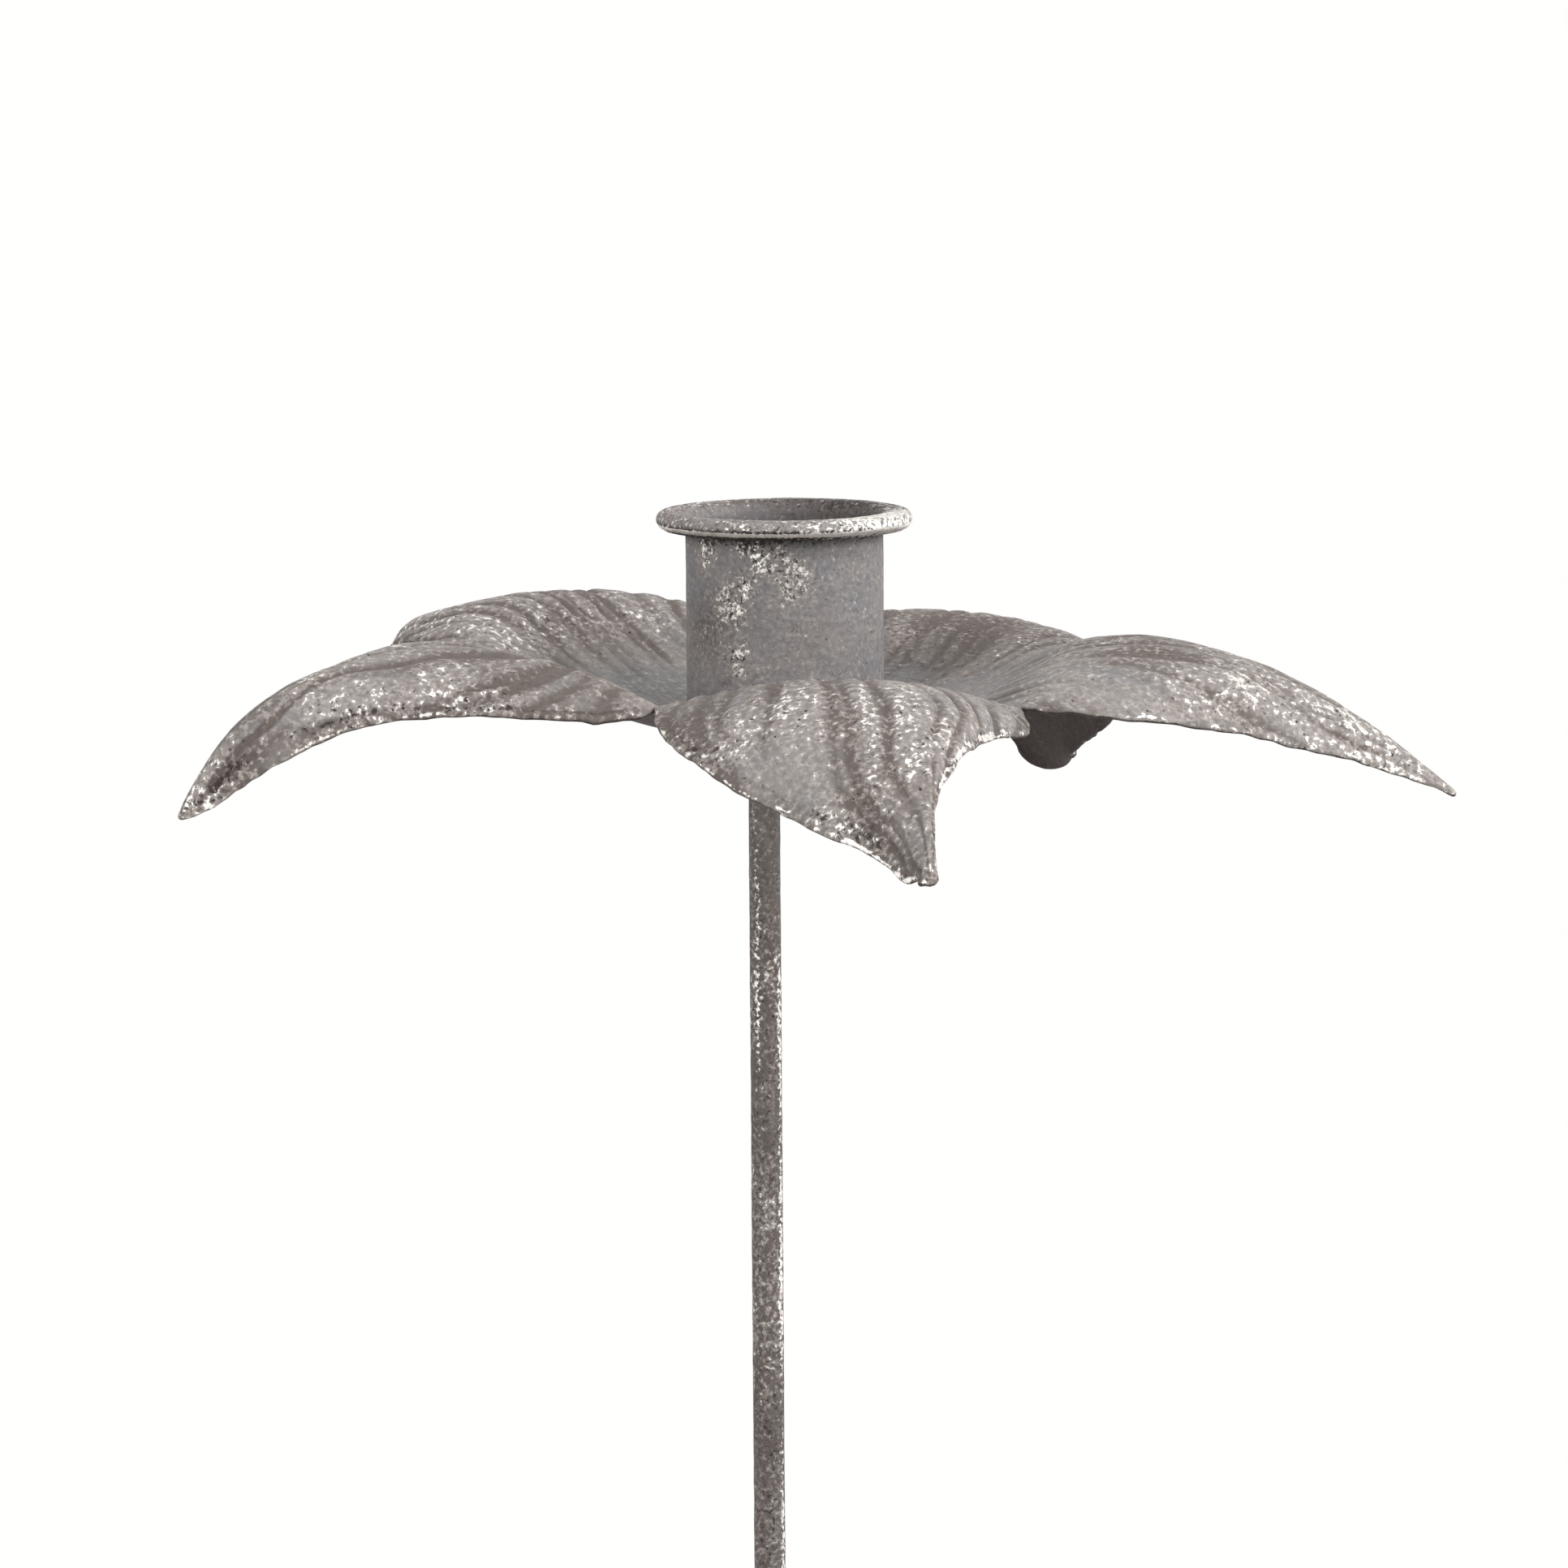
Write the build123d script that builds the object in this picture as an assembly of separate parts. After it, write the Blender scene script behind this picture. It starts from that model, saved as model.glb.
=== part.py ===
from build123d import *

import os
from dataclasses import dataclass, field
from math import cos, radians, sin

# A candle stand: a five-petal flower dish on a thin rod, with a socket for a taper candle
# soldered into its cup and a heavy round foot. Millimetres, Z up. The origin is on the floor,
# on the rod's axis.

# ---- candle socket: a short tube whose mouth is flared and curled over
CANDLE_RADIUS = 11.0
CANDLE_CLEARANCE = 0.4
SOCKET_WALL = 0.8
SOCKET_HEIGHT = 26.0
FLARE_RADIUS = 2.0
LIP_FLAT = 1.3
CURL_RADIUS = 1.25
CURL_END = -110.0
QUARTER_TURN = 90.0

# ---- flower dish: one pressed sheet, a round cup that parts into petals
PETAL_COUNT = 5
FRONT_AZIMUTH = -78.0
SHEET = 0.8
CUP_MARGIN = 0.15
CUP_RADIUS = 38.0
VALLEY_RISE = 0.25
NOTCH_OPENING = 0.22
PETAL_REACH = 83.0
EDGE_MIDDLE_REACH = 59.0

# ---- soldered and brazed joints
SOLDER_LEG = 0.65
BRAZE_LEG = 0.6

# ---- boss under the dish, which the rod screws into
BOSS_FLANGE_RADIUS = 7.0
BOSS_FLANGE_HEIGHT = 1.2
BOSS_HUB_RADIUS = 4.0
BOSS_HUB_HEIGHT = 5.0
BOSS_EDGE_ROUND = 0.5
SOCKET_OFFSET = 2.7

# ---- rod
TOTAL_HEIGHT = 300.0
ROD_RADIUS = 2.0
ROD_CHAMFER = 0.4
THREAD_CLEARANCE = 0.05

# ---- foot and its fasteners
FOOT_RADIUS = 55.0
FOOT_THICKNESS = 5.0
FOOT_EDGE_ROUND = 1.2
FOOT_HOLE_DEPTH = 3.6
WASHER_RADIUS = 4.5
WASHER_THICKNESS = 0.8
NUT_ACROSS_FLATS = 7.0
NUT_HEIGHT = 3.2
NUT_CHAMFER = 0.35


@dataclass
class FreeEdge:
    """A petal's free edge. Rise and fall are slopes, up from the notch and down to the tip;
    taper is how fast it closes on the centre line there. The rest is halfway along."""

    half_width: float = 13.5
    height: float = 0.0
    rise: float = 0.25
    fall: float = 0.5
    taper: float = 0.35


@dataclass
class TipEnd:
    """A petal's blunt end: half its width, and how far its middle stands out and up from its
    corners."""

    half_width: float = 1.5
    stand_out: float = 1.5
    stand_up: float = 0.4


@dataclass
class Petal:
    """One petal and the notch on its left. Heights are above the cup's floor, and left is
    left of someone on the socket's axis who looks out along the petal."""

    neck_height: float
    neck_rise: float
    ridge_height: float
    tip_height: float
    tip_fall: float
    bend: float
    notch_height: float
    tip_end: TipEnd = field(default_factory=TipEnd)
    left: FreeEdge = field(default_factory=FreeEdge)
    right: FreeEdge = field(default_factory=FreeEdge)


# The petals in turn from the front one, anticlockwise from above, each bent by hand.
PETALS = (
    Petal(neck_height=8.0, neck_rise=0.45, ridge_height=7.8, tip_height=-9.0, tip_fall=0.8,
          bend=-0.8, notch_height=4.5,
          left=FreeEdge(half_width=11.0, height=3.6, rise=-0.7, fall=0.85, taper=0.0),
          right=FreeEdge(half_width=19.0, height=-0.4, rise=-0.05, fall=0.0, taper=-0.2)),
    Petal(neck_height=9.0, neck_rise=0.15, ridge_height=6.1, tip_height=-9.0, tip_fall=0.75,
          bend=1.0, notch_height=6.0,
          right=FreeEdge(height=-0.3, rise=0.0, fall=0.45)),
    Petal(neck_height=6.7, neck_rise=0.4, ridge_height=4.3, tip_height=-13.7, tip_fall=1.0,
          bend=-1.5, notch_height=9.0, tip_end=TipEnd(half_width=3.5, stand_out=2.5, stand_up=-2.0),
          left=FreeEdge(height=-3.1, fall=1.5, taper=0.25),
          right=FreeEdge(half_width=22.0, height=-2.4, rise=0.2, fall=0.1, taper=0.4)),
    Petal(neck_height=11.1, neck_rise=0.7, ridge_height=8.1, tip_height=-6.0, tip_fall=2.0,
          bend=-13.0, notch_height=5.5,
          left=FreeEdge(half_width=12.7, height=5.0, rise=0.4, fall=0.1),
          right=FreeEdge(height=-1.8, fall=0.6)),
    Petal(neck_height=10.8, neck_rise=0.33, ridge_height=10.8, tip_height=-6.5, tip_fall=1.7,
          bend=-1.3, notch_height=6.0,
          left=FreeEdge(half_width=11.3, height=5.0, rise=-0.54, fall=0.4, taper=0.4),
          right=FreeEdge(height=3.0)),
)

# ---- sizes that follow
SOCKET_BORE_RADIUS = CANDLE_RADIUS + CANDLE_CLEARANCE
SOCKET_RADIUS = SOCKET_BORE_RADIUS + SOCKET_WALL
CUP_FLOOR_RADIUS = SOCKET_RADIUS + SOLDER_LEG + CUP_MARGIN
DISH_FLOOR_Z = TOTAL_HEIGHT - SOCKET_HEIGHT
DISH_PLACE = Location((SOCKET_OFFSET, 0, DISH_FLOOR_Z))
DISH_UNDERSIDE_Z = DISH_FLOOR_Z - SHEET
ROD_FOOT_Z = FOOT_THICKNESS - FOOT_HOLE_DEPTH
THREAD_BORE_RADIUS = ROD_RADIUS + THREAD_CLEARANCE
PETAL_PITCH = 360.0 / PETAL_COUNT
COS_HALF = cos(radians(PETAL_PITCH / 2))
SIN_HALF = sin(radians(PETAL_PITCH / 2))

# A petal is drawn with its ridge along X and its left edge towards Y, on two Bezier patches:
# its share of the cup, and the free blade. Each has five columns of control points, and these
# are their values for simple functions of t, which is -1 at the right edge and 1 at the left.
LINEAR = (-1, -1 / 2, 0, 1 / 2, 1)
SQUARE = (1, 0, -1 / 3, 0, 1)
# The full arch is 1 on the ridge and falls by 3/4 of t squared and 1/4 of its fourth power.
FULL_ARCH = (0, 5 / 4, 1, 5 / 4, 0)
COLUMNS = range(5)


def quartic(start, start_slope, middle, end_slope, end, length):
    """Five control values of a curve with these ends and slopes that is `middle` halfway."""
    second = start + start_slope * length / 4
    fourth = end - end_slope * length / 4
    third = (16 * middle - start - 4 * second - 4 * fourth - end) / 6
    return start, second, third, fourth, end


def cup_net(petal, right_notch_height):
    """A petal's share of the cup: level at its floor, with a crease on each side that climbs to
    a notch, and arched between the two."""
    span = CUP_RADIUS - CUP_FLOOR_RADIUS

    def climb(height, rise):
        return 0, 0, height - rise * span / 3, height

    right = climb(right_notch_height, VALLEY_RISE)
    left = climb(petal.notch_height, VALLEY_RISE)
    ridge = climb(petal.neck_height, petal.neck_rise)
    net = []
    for row in range(4):
        radius = CUP_FLOOR_RADIUS + span * row / 3
        mean = (left[row] + right[row]) / 2
        tilt = (left[row] - right[row]) / 2
        net.append([Vector(radius - radius * (1 - COS_HALF) * SQUARE[j],
                           radius * SIN_HALF * LINEAR[j],
                           mean + tilt * LINEAR[j] + (ridge[row] - mean) * FULL_ARCH[j])
                    for j in COLUMNS])
    return net


def edge_curve(petal, edge, notch_height):
    """Reach, half width and height of a blade's free edge, five control values of each."""
    length = PETAL_REACH - CUP_RADIUS
    tip_reach = PETAL_REACH - petal.tip_end.stand_out
    reach = quartic(CUP_RADIUS * COS_HALF, COS_HALF, EDGE_MIDDLE_REACH, 1, tip_reach, length)
    width = quartic(CUP_RADIUS * SIN_HALF, SIN_HALF - NOTCH_OPENING, edge.half_width,
                    -edge.taper, petal.tip_end.half_width, length)
    height = quartic(notch_height, edge.rise, edge.height, -edge.fall, petal.tip_height, length)
    return reach, width, height


def blade_net(petal, right_notch_height):
    """The free part of a petal, from the cup's rim to the tip, arched between its two edges."""
    length = PETAL_REACH - CUP_RADIUS
    ridge = quartic(petal.neck_height, petal.neck_rise, petal.ridge_height, -petal.tip_fall,
                    petal.tip_height + petal.tip_end.stand_up, length)
    left_reach, left_width, left_height = edge_curve(petal, petal.left, petal.notch_height)
    right_reach, right_width, right_height = edge_curve(petal, petal.right, right_notch_height)
    sway = (0, 0, petal.bend / 6, petal.bend / 2, petal.bend)
    net = []
    for row in range(5):
        reach = CUP_RADIUS + length * row / 4
        mean_reach = (left_reach[row] + right_reach[row]) / 2
        half_width = (left_width[row] + right_width[row]) / 2
        off_centre = (left_width[row] - right_width[row]) / 2
        mean_height = (left_height[row] + right_height[row]) / 2
        tilt = (left_height[row] - right_height[row]) / 2
        skew = (left_reach[row] - right_reach[row]) / 2
        net.append([Vector(reach + skew * LINEAR[j] + (mean_reach - reach) * SQUARE[j],
                           sway[row] + half_width * LINEAR[j] + off_centre * SQUARE[j],
                           mean_height + tilt * LINEAR[j] + (ridge[row] - mean_height) * FULL_ARCH[j])
                    for j in COLUMNS])
    return net


def across_direction(net, row, column, seams):
    """Direction across the petal at a control point, the same from both sides of a seam."""
    if seams and column in (0, 4):
        return Vector(-SIN_HALF * LINEAR[column], COS_HALF, 0)
    return net[row][min(column + 1, 4)] - net[row][max(column - 1, 0)]


def net_normals(net, seams):
    """Upward unit normals at the control points of a net. `seams` tells that its two long
    sides are shared with the neighbours."""
    last = len(net) - 1
    normals = []
    for row in range(last + 1):
        normals.append([])
        for column in COLUMNS:
            along = net[min(row + 1, last)][column] - net[max(row - 1, 0)][column]
            across = across_direction(net, row, column, seams)
            normals[row].append(along.cross(across).normalized())
    return normals


def underside(net, normals):
    """The net one sheet thickness below."""
    return [[point - normal * SHEET for point, normal in zip(points, row_normals)]
            for points, row_normals in zip(net, normals)]


def cut_edge(upper, lower):
    """The cut edge of the sheet between an upper and a lower border."""
    return Face.make_bezier_surface([upper, lower])


def petal_faces(petal, right_notch_height, azimuth):
    """Top, underside and cut edges of one petal, and its borders on the cup's floor, turned
    to its azimuth."""
    cup = cup_net(petal, right_notch_height)
    cup_normals = net_normals(cup, seams=True)
    cup_normals[0] = [Vector(0, 0, 1)] * len(COLUMNS)
    blade = blade_net(petal, right_notch_height)
    blade_normals = net_normals(blade, seams=False)
    blade_normals[0] = cup_normals[-1]
    cup_under = underside(cup, cup_normals)
    blade_under = underside(blade, blade_normals)
    faces = [Face.make_bezier_surface(net) for net in (cup, cup_under, blade, blade_under)]
    for side in (0, -1):
        faces.append(cut_edge([row[side] for row in blade], [row[side] for row in blade_under]))
    faces.append(cut_edge(blade[-1], blade_under[-1]))
    turn = Rot(0, 0, azimuth)
    return [turn * face for face in faces], turn * Bezier(*cup[0]), turn * Bezier(*cup_under[0])


def flower_dish():
    """The pressed dish: a flat floor, the cup round it and the petals, closed into one solid."""
    faces = []
    floor_borders = []
    underside_borders = []
    for i, petal in enumerate(PETALS):
        petal_skin, floor_border, underside_border = petal_faces(
            petal, PETALS[i - 1].notch_height, FRONT_AZIMUTH + PETAL_PITCH * i)
        faces += petal_skin
        floor_borders.append(floor_border)
        underside_borders.append(underside_border)
    faces.append(Face(Wire(floor_borders)))
    faces.append(Face(Wire(underside_borders)))
    return DISH_PLACE * Solid(Shell(faces))


def candle_socket():
    """A tube whose wall flares out at the mouth, runs level and curls under in a round bead."""
    crest_z = SOCKET_HEIGHT
    flare_start = crest_z - FLARE_RADIUS
    flare_centre = (SOCKET_BORE_RADIUS + FLARE_RADIUS, flare_start)
    curl_centre = (SOCKET_BORE_RADIUS + FLARE_RADIUS + LIP_FLAT, crest_z - CURL_RADIUS)
    inner_curl = CURL_RADIUS - SOCKET_WALL

    def curl_point(radius, angle):
        turn = radians(angle)
        return curl_centre[0] + radius * cos(turn), curl_centre[1] + radius * sin(turn)

    inside = Line((SOCKET_BORE_RADIUS, 0), (SOCKET_BORE_RADIUS, flare_start))
    flare = CenterArc(flare_centre, FLARE_RADIUS, 2 * QUARTER_TURN, -QUARTER_TURN)
    level = Line(flare @ 1, curl_point(CURL_RADIUS, QUARTER_TURN))
    curl = CenterArc(curl_centre, CURL_RADIUS, QUARTER_TURN, CURL_END - QUARTER_TURN)
    sheet_end = Line(curl @ 1, curl_point(inner_curl, CURL_END))
    curl_back = CenterArc(curl_centre, inner_curl, CURL_END, QUARTER_TURN - CURL_END)
    level_back = Line(curl_back @ 1, (flare_centre[0], crest_z - SOCKET_WALL))
    flare_back = CenterArc(flare_centre, FLARE_RADIUS - SOCKET_WALL, QUARTER_TURN, QUARTER_TURN)
    outside = Line(flare_back @ 1, (SOCKET_RADIUS, 0))
    foot = Line(outside @ 1, inside @ 0)
    outline = Wire([inside, flare, level, curl, sheet_end, curl_back, level_back, flare_back,
                    outside, foot])
    return DISH_PLACE * revolved(outline)


def revolved(outline):
    """A solid of revolution about Z from an outline of radius and height."""
    return revolve(Plane.XZ * Face(outline), Axis.Z)


def fillet_ring(radius, leg, rises):
    """A ring of solder or braze in the corner outside a cylinder of this radius, hollow on its
    open side. It climbs up from the level of zero, or hangs down from it."""
    up = 1 if rises else -1
    corner = (radius, 0)
    on_floor = (radius + leg, 0)
    on_wall = (radius, up * leg)
    hollow = RadiusArc(on_floor, on_wall, up * leg)
    return revolved(Wire([Line(corner, on_floor), hollow, Line(on_wall, corner)]))


def stem_boss():
    """A flanged round boss under the dish, with a through hole for the rod's thread."""
    flange = Cylinder(BOSS_FLANGE_RADIUS, BOSS_FLANGE_HEIGHT, align=(Align.CENTER, Align.CENTER, Align.MAX))
    hub = Cylinder(BOSS_HUB_RADIUS, BOSS_FLANGE_HEIGHT + BOSS_HUB_HEIGHT,
                   align=(Align.CENTER, Align.CENTER, Align.MAX))
    hub = chamfer(hub.edges().sort_by(Axis.Z)[0], BOSS_EDGE_ROUND)
    bore = Cylinder(THREAD_BORE_RADIUS, BOSS_FLANGE_HEIGHT + BOSS_HUB_HEIGHT,
                    align=(Align.CENTER, Align.CENTER, Align.MAX))
    return Pos(0, 0, DISH_UNDERSIDE_Z) * (flange + hub - bore)


def stem_rod():
    """The round rod, from the bottom of the foot's hole to the underside of the dish."""
    rod = Cylinder(ROD_RADIUS, DISH_UNDERSIDE_Z - ROD_FOOT_Z, align=(Align.CENTER, Align.CENTER, Align.MIN))
    rod = chamfer(rod.edges(), ROD_CHAMFER)
    return Pos(0, 0, ROD_FOOT_Z) * rod


def foot_disc():
    """A heavy turned disc with a rounded upper edge and a blind hole for the rod's thread."""
    disc = Cylinder(FOOT_RADIUS, FOOT_THICKNESS, align=(Align.CENTER, Align.CENTER, Align.MIN))
    disc = fillet(disc.edges().sort_by(Axis.Z)[-1], FOOT_EDGE_ROUND)
    hole = Cylinder(THREAD_BORE_RADIUS, FOOT_HOLE_DEPTH, align=(Align.CENTER, Align.CENTER, Align.MIN))
    return disc - Pos(0, 0, ROD_FOOT_Z) * hole


def foot_washer():
    """A plain washer on top of the foot."""
    ring = Circle(WASHER_RADIUS) - Circle(THREAD_BORE_RADIUS)
    return Pos(0, 0, FOOT_THICKNESS) * extrude(ring, WASHER_THICKNESS)


def foot_lock_nut():
    """A hexagon nut that locks the rod in the foot, with its corners turned down both ways."""
    hexagon = extrude(RegularPolygon(NUT_ACROSS_FLATS / 2, 6, major_radius=False), NUT_HEIGHT)
    corner_radius = NUT_ACROSS_FLATS / 2 / cos(radians(30))
    turned = Cylinder(corner_radius, NUT_HEIGHT, align=(Align.CENTER, Align.CENTER, Align.MIN))
    turned = chamfer(turned.edges(), NUT_CHAMFER)
    bore = Cylinder(THREAD_BORE_RADIUS, NUT_HEIGHT, align=(Align.CENTER, Align.CENTER, Align.MIN))
    return Pos(0, 0, FOOT_THICKNESS + WASHER_THICKNESS) * ((hexagon & turned) - bore)


def build_parts():
    """Every piece by name, in its place on the stand."""
    solder = fillet_ring(SOCKET_RADIUS, SOLDER_LEG, rises=True)
    braze = fillet_ring(BOSS_FLANGE_RADIUS, BRAZE_LEG, rises=False)
    return {
        "candle_socket": candle_socket(),
        "socket_solder_ring": DISH_PLACE * solder,
        "flower_dish": flower_dish(),
        "stem_boss": stem_boss(),
        "boss_braze_ring": Pos(0, 0, DISH_UNDERSIDE_Z) * braze,
        "stem_rod": stem_rod(),
        "foot_lock_nut": foot_lock_nut(),
        "foot_washer": foot_washer(),
        "foot_disc": foot_disc(),
    }


os.makedirs("parts", exist_ok=True)
for name, solid in build_parts().items():
    export_step(solid, f"parts/{name}.step")
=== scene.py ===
from dataclasses import dataclass, field
from itertools import product
from math import comb, cos, pi, radians, sin

import bmesh
import bpy
import numpy as np
from mathutils import Matrix, Vector

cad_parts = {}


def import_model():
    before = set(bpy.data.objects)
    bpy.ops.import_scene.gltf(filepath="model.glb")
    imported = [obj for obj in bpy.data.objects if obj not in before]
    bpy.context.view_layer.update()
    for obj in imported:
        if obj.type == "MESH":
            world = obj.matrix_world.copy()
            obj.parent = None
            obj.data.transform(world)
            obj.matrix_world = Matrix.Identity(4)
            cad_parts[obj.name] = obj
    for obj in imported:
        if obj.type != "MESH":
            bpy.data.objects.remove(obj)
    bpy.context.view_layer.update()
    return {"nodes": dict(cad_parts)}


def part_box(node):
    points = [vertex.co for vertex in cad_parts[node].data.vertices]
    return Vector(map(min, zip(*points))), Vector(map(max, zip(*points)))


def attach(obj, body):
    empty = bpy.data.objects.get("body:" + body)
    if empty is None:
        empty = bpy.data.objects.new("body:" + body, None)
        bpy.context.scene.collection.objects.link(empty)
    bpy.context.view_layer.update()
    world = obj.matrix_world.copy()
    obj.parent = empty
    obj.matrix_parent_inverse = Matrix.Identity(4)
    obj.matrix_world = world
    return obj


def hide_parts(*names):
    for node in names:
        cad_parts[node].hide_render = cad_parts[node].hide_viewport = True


# The looks of a candle stand: a five-petal flower dish pressed from zinc sheet, a curled-over
# socket soldered into its cup, a thin rod and a heavy foot, all with a rubbed-back brown patina.
# Lengths are millimetres, and a mesh turns them into metres when it is made.

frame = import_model()

MM = 0.001
WELD = 2e-6


def corners(node):
    """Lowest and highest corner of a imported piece, in millimetres."""
    return [np.array(corner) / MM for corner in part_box(node)]


# ---- sizes read from the frame
SOCKET_LOW, SOCKET_HIGH = corners("candle_socket")
ROD_LOW, ROD_HIGH = corners("stem_rod")
FOOT_LOW, FOOT_HIGH = corners("foot_disc")
NUT_TOP = corners("foot_lock_nut")[1][2]
BOSS_LOW, BOSS_HIGH = corners("stem_boss")
DISH_PLACE = np.array([(SOCKET_LOW[0] + SOCKET_HIGH[0]) / 2, 0.0, SOCKET_LOW[2]])

# ---- flower dish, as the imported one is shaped
FRONT_AZIMUTH = -78.0
SHEET = 0.8
CUP_FLOOR_RADIUS = 13.0
CUP_RADIUS = 38.0
VALLEY_RISE = 0.25
NOTCH_OPENING = 0.22
PETAL_REACH = 83.0
EDGE_MIDDLE_REACH = 59.0

# ---- candle socket
SOCKET_BORE_RADIUS = 11.4
SOCKET_WALL = 0.8
SOCKET_HEIGHT = SOCKET_HIGH[2] - SOCKET_LOW[2]
FLARE_RADIUS = 2.0
LIP_FLAT = 1.3
CURL_RADIUS = 1.25


@dataclass
class FreeEdge:
    """A petal's free edge: its half width and height halfway along, the slopes up from the
    notch and down to the tip, and how fast it closes on the centre line there."""

    half_width: float = 13.5
    height: float = 0.0
    rise: float = 0.25
    fall: float = 0.5
    taper: float = 0.35


@dataclass
class TipEnd:
    """A petal's blunt end: half its width, and how far its middle stands out and up from its
    corners."""

    half_width: float = 1.5
    stand_out: float = 1.5
    stand_up: float = 0.4


@dataclass
class Petal:
    """One petal and the notch on its left, with heights above the cup's floor."""

    neck_height: float
    neck_rise: float
    ridge_height: float
    tip_height: float
    tip_fall: float
    bend: float
    notch_height: float
    tip_end: TipEnd = field(default_factory=TipEnd)
    left: FreeEdge = field(default_factory=FreeEdge)
    right: FreeEdge = field(default_factory=FreeEdge)


# The petals in turn from the front one, anticlockwise from above. No two are bent alike.
PETALS = (
    Petal(neck_height=8.0, neck_rise=0.45, ridge_height=7.8, tip_height=-9.0, tip_fall=0.8,
          bend=-0.8, notch_height=4.5,
          left=FreeEdge(half_width=11.0, height=3.6, rise=-0.7, fall=0.85, taper=0.0),
          right=FreeEdge(half_width=19.0, height=-0.4, rise=-0.05, fall=0.0, taper=-0.2)),
    Petal(neck_height=9.0, neck_rise=0.15, ridge_height=6.1, tip_height=-9.0, tip_fall=0.75,
          bend=1.0, notch_height=6.0,
          right=FreeEdge(height=-0.3, rise=0.0, fall=0.45)),
    Petal(neck_height=6.7, neck_rise=0.4, ridge_height=4.3, tip_height=-13.7, tip_fall=1.0,
          bend=-1.5, notch_height=9.0, tip_end=TipEnd(half_width=3.5, stand_out=2.5, stand_up=-2.0),
          left=FreeEdge(height=-3.1, fall=1.5, taper=0.25),
          right=FreeEdge(half_width=22.0, height=-2.4, rise=0.2, fall=0.1, taper=0.4)),
    Petal(neck_height=11.1, neck_rise=0.7, ridge_height=8.1, tip_height=-6.0, tip_fall=2.0,
          bend=-13.0, notch_height=5.5,
          left=FreeEdge(half_width=12.7, height=5.0, rise=0.4, fall=0.1),
          right=FreeEdge(height=-1.8, fall=0.6)),
    Petal(neck_height=10.8, neck_rise=0.33, ridge_height=10.8, tip_height=-6.5, tip_fall=1.7,
          bend=-1.3, notch_height=6.0,
          left=FreeEdge(half_width=11.3, height=5.0, rise=-0.54, fall=0.4, taper=0.4),
          right=FreeEdge(height=3.0)),
)

PETAL_PITCH = 360.0 / len(PETALS)
HALF_PITCH = radians(PETAL_PITCH / 2)
COS_HALF = cos(HALF_PITCH)
SIN_HALF = sin(HALF_PITCH)
BLADE_LENGTH = PETAL_REACH - CUP_RADIUS

# Control values of a patch's five columns for simple functions of the place across, -1 to 1.
LINEAR = np.array([-1, -1 / 2, 0, 1 / 2, 1])
SQUARE = np.array([1, 0, -1 / 3, 0, 1])
FULL_ARCH = np.array([0, 5 / 4, 1, 5 / 4, 0])

# ---- relief of the pressed sheet
CUP_ROWS = 26
BLADE_ROWS = 92
ACROSS_STEPS = 70
FLOOR_RINGS = 5
RIM_STEPS = 6
EDGE_CROWDING = 0.3
VEINS = 15
VEIN_DEPTH = 0.75
VEIN_FAN = 0.8
# Where the veins begin and where they thin out, as distances from the cup's axis.
VEIN_START = (22, 33)
VEIN_FADE = (66, 82)
# Dents of the sheet: height, size and seed of each layer of noise.
DENTS = ((0.26, 12.0, 5), (0.14, 5.0, 6), (0.07, 2.0, 7))
WAVE_OUT = 0.32
WAVE_UP = 0.4
NICK = 0.12
BEAD = 0.14
BEAD_WIDTH = 0.6
EDGE_INSET = 0.55
# Petals that are fuller on the right by the tip: petal, how much, how far from the tip, reach.
TIP_SWELLS = ((0, 1.1, 4.0, 2.5), (2, 1.3, 1.0, 4.0))
# How far each petal's two tip corners are rounded back.
TIP_ROUND = (0.2, 0.3, 0.0, 0.3, 0.3)
# How much brown dirt lies along each petal's edge.
EDGE_DIRT = (0.6, 0.15, 0.5, 0.5, 1.0)
# The underside was never rubbed back, so it keeps a brown film all over; its dark level is painted shade.
UNDERSIDE = {"film": 2.0, "wear": 0.0, "dark": 1.3, "bright": 0.0}


@dataclass
class Mark:
    """A dirty or rubbed patch on a petal, or a patch of painted shade: its place out from the cup's axis
    and across from the petal's centre line, how far it reaches both ways, and what it adds to each field."""

    place: tuple
    reach: tuple
    film: float = 0.0
    wear: float = 0.0
    dark: float = 0.0
    bright: float = 0.0
    smooth: float = 0.0


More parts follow.
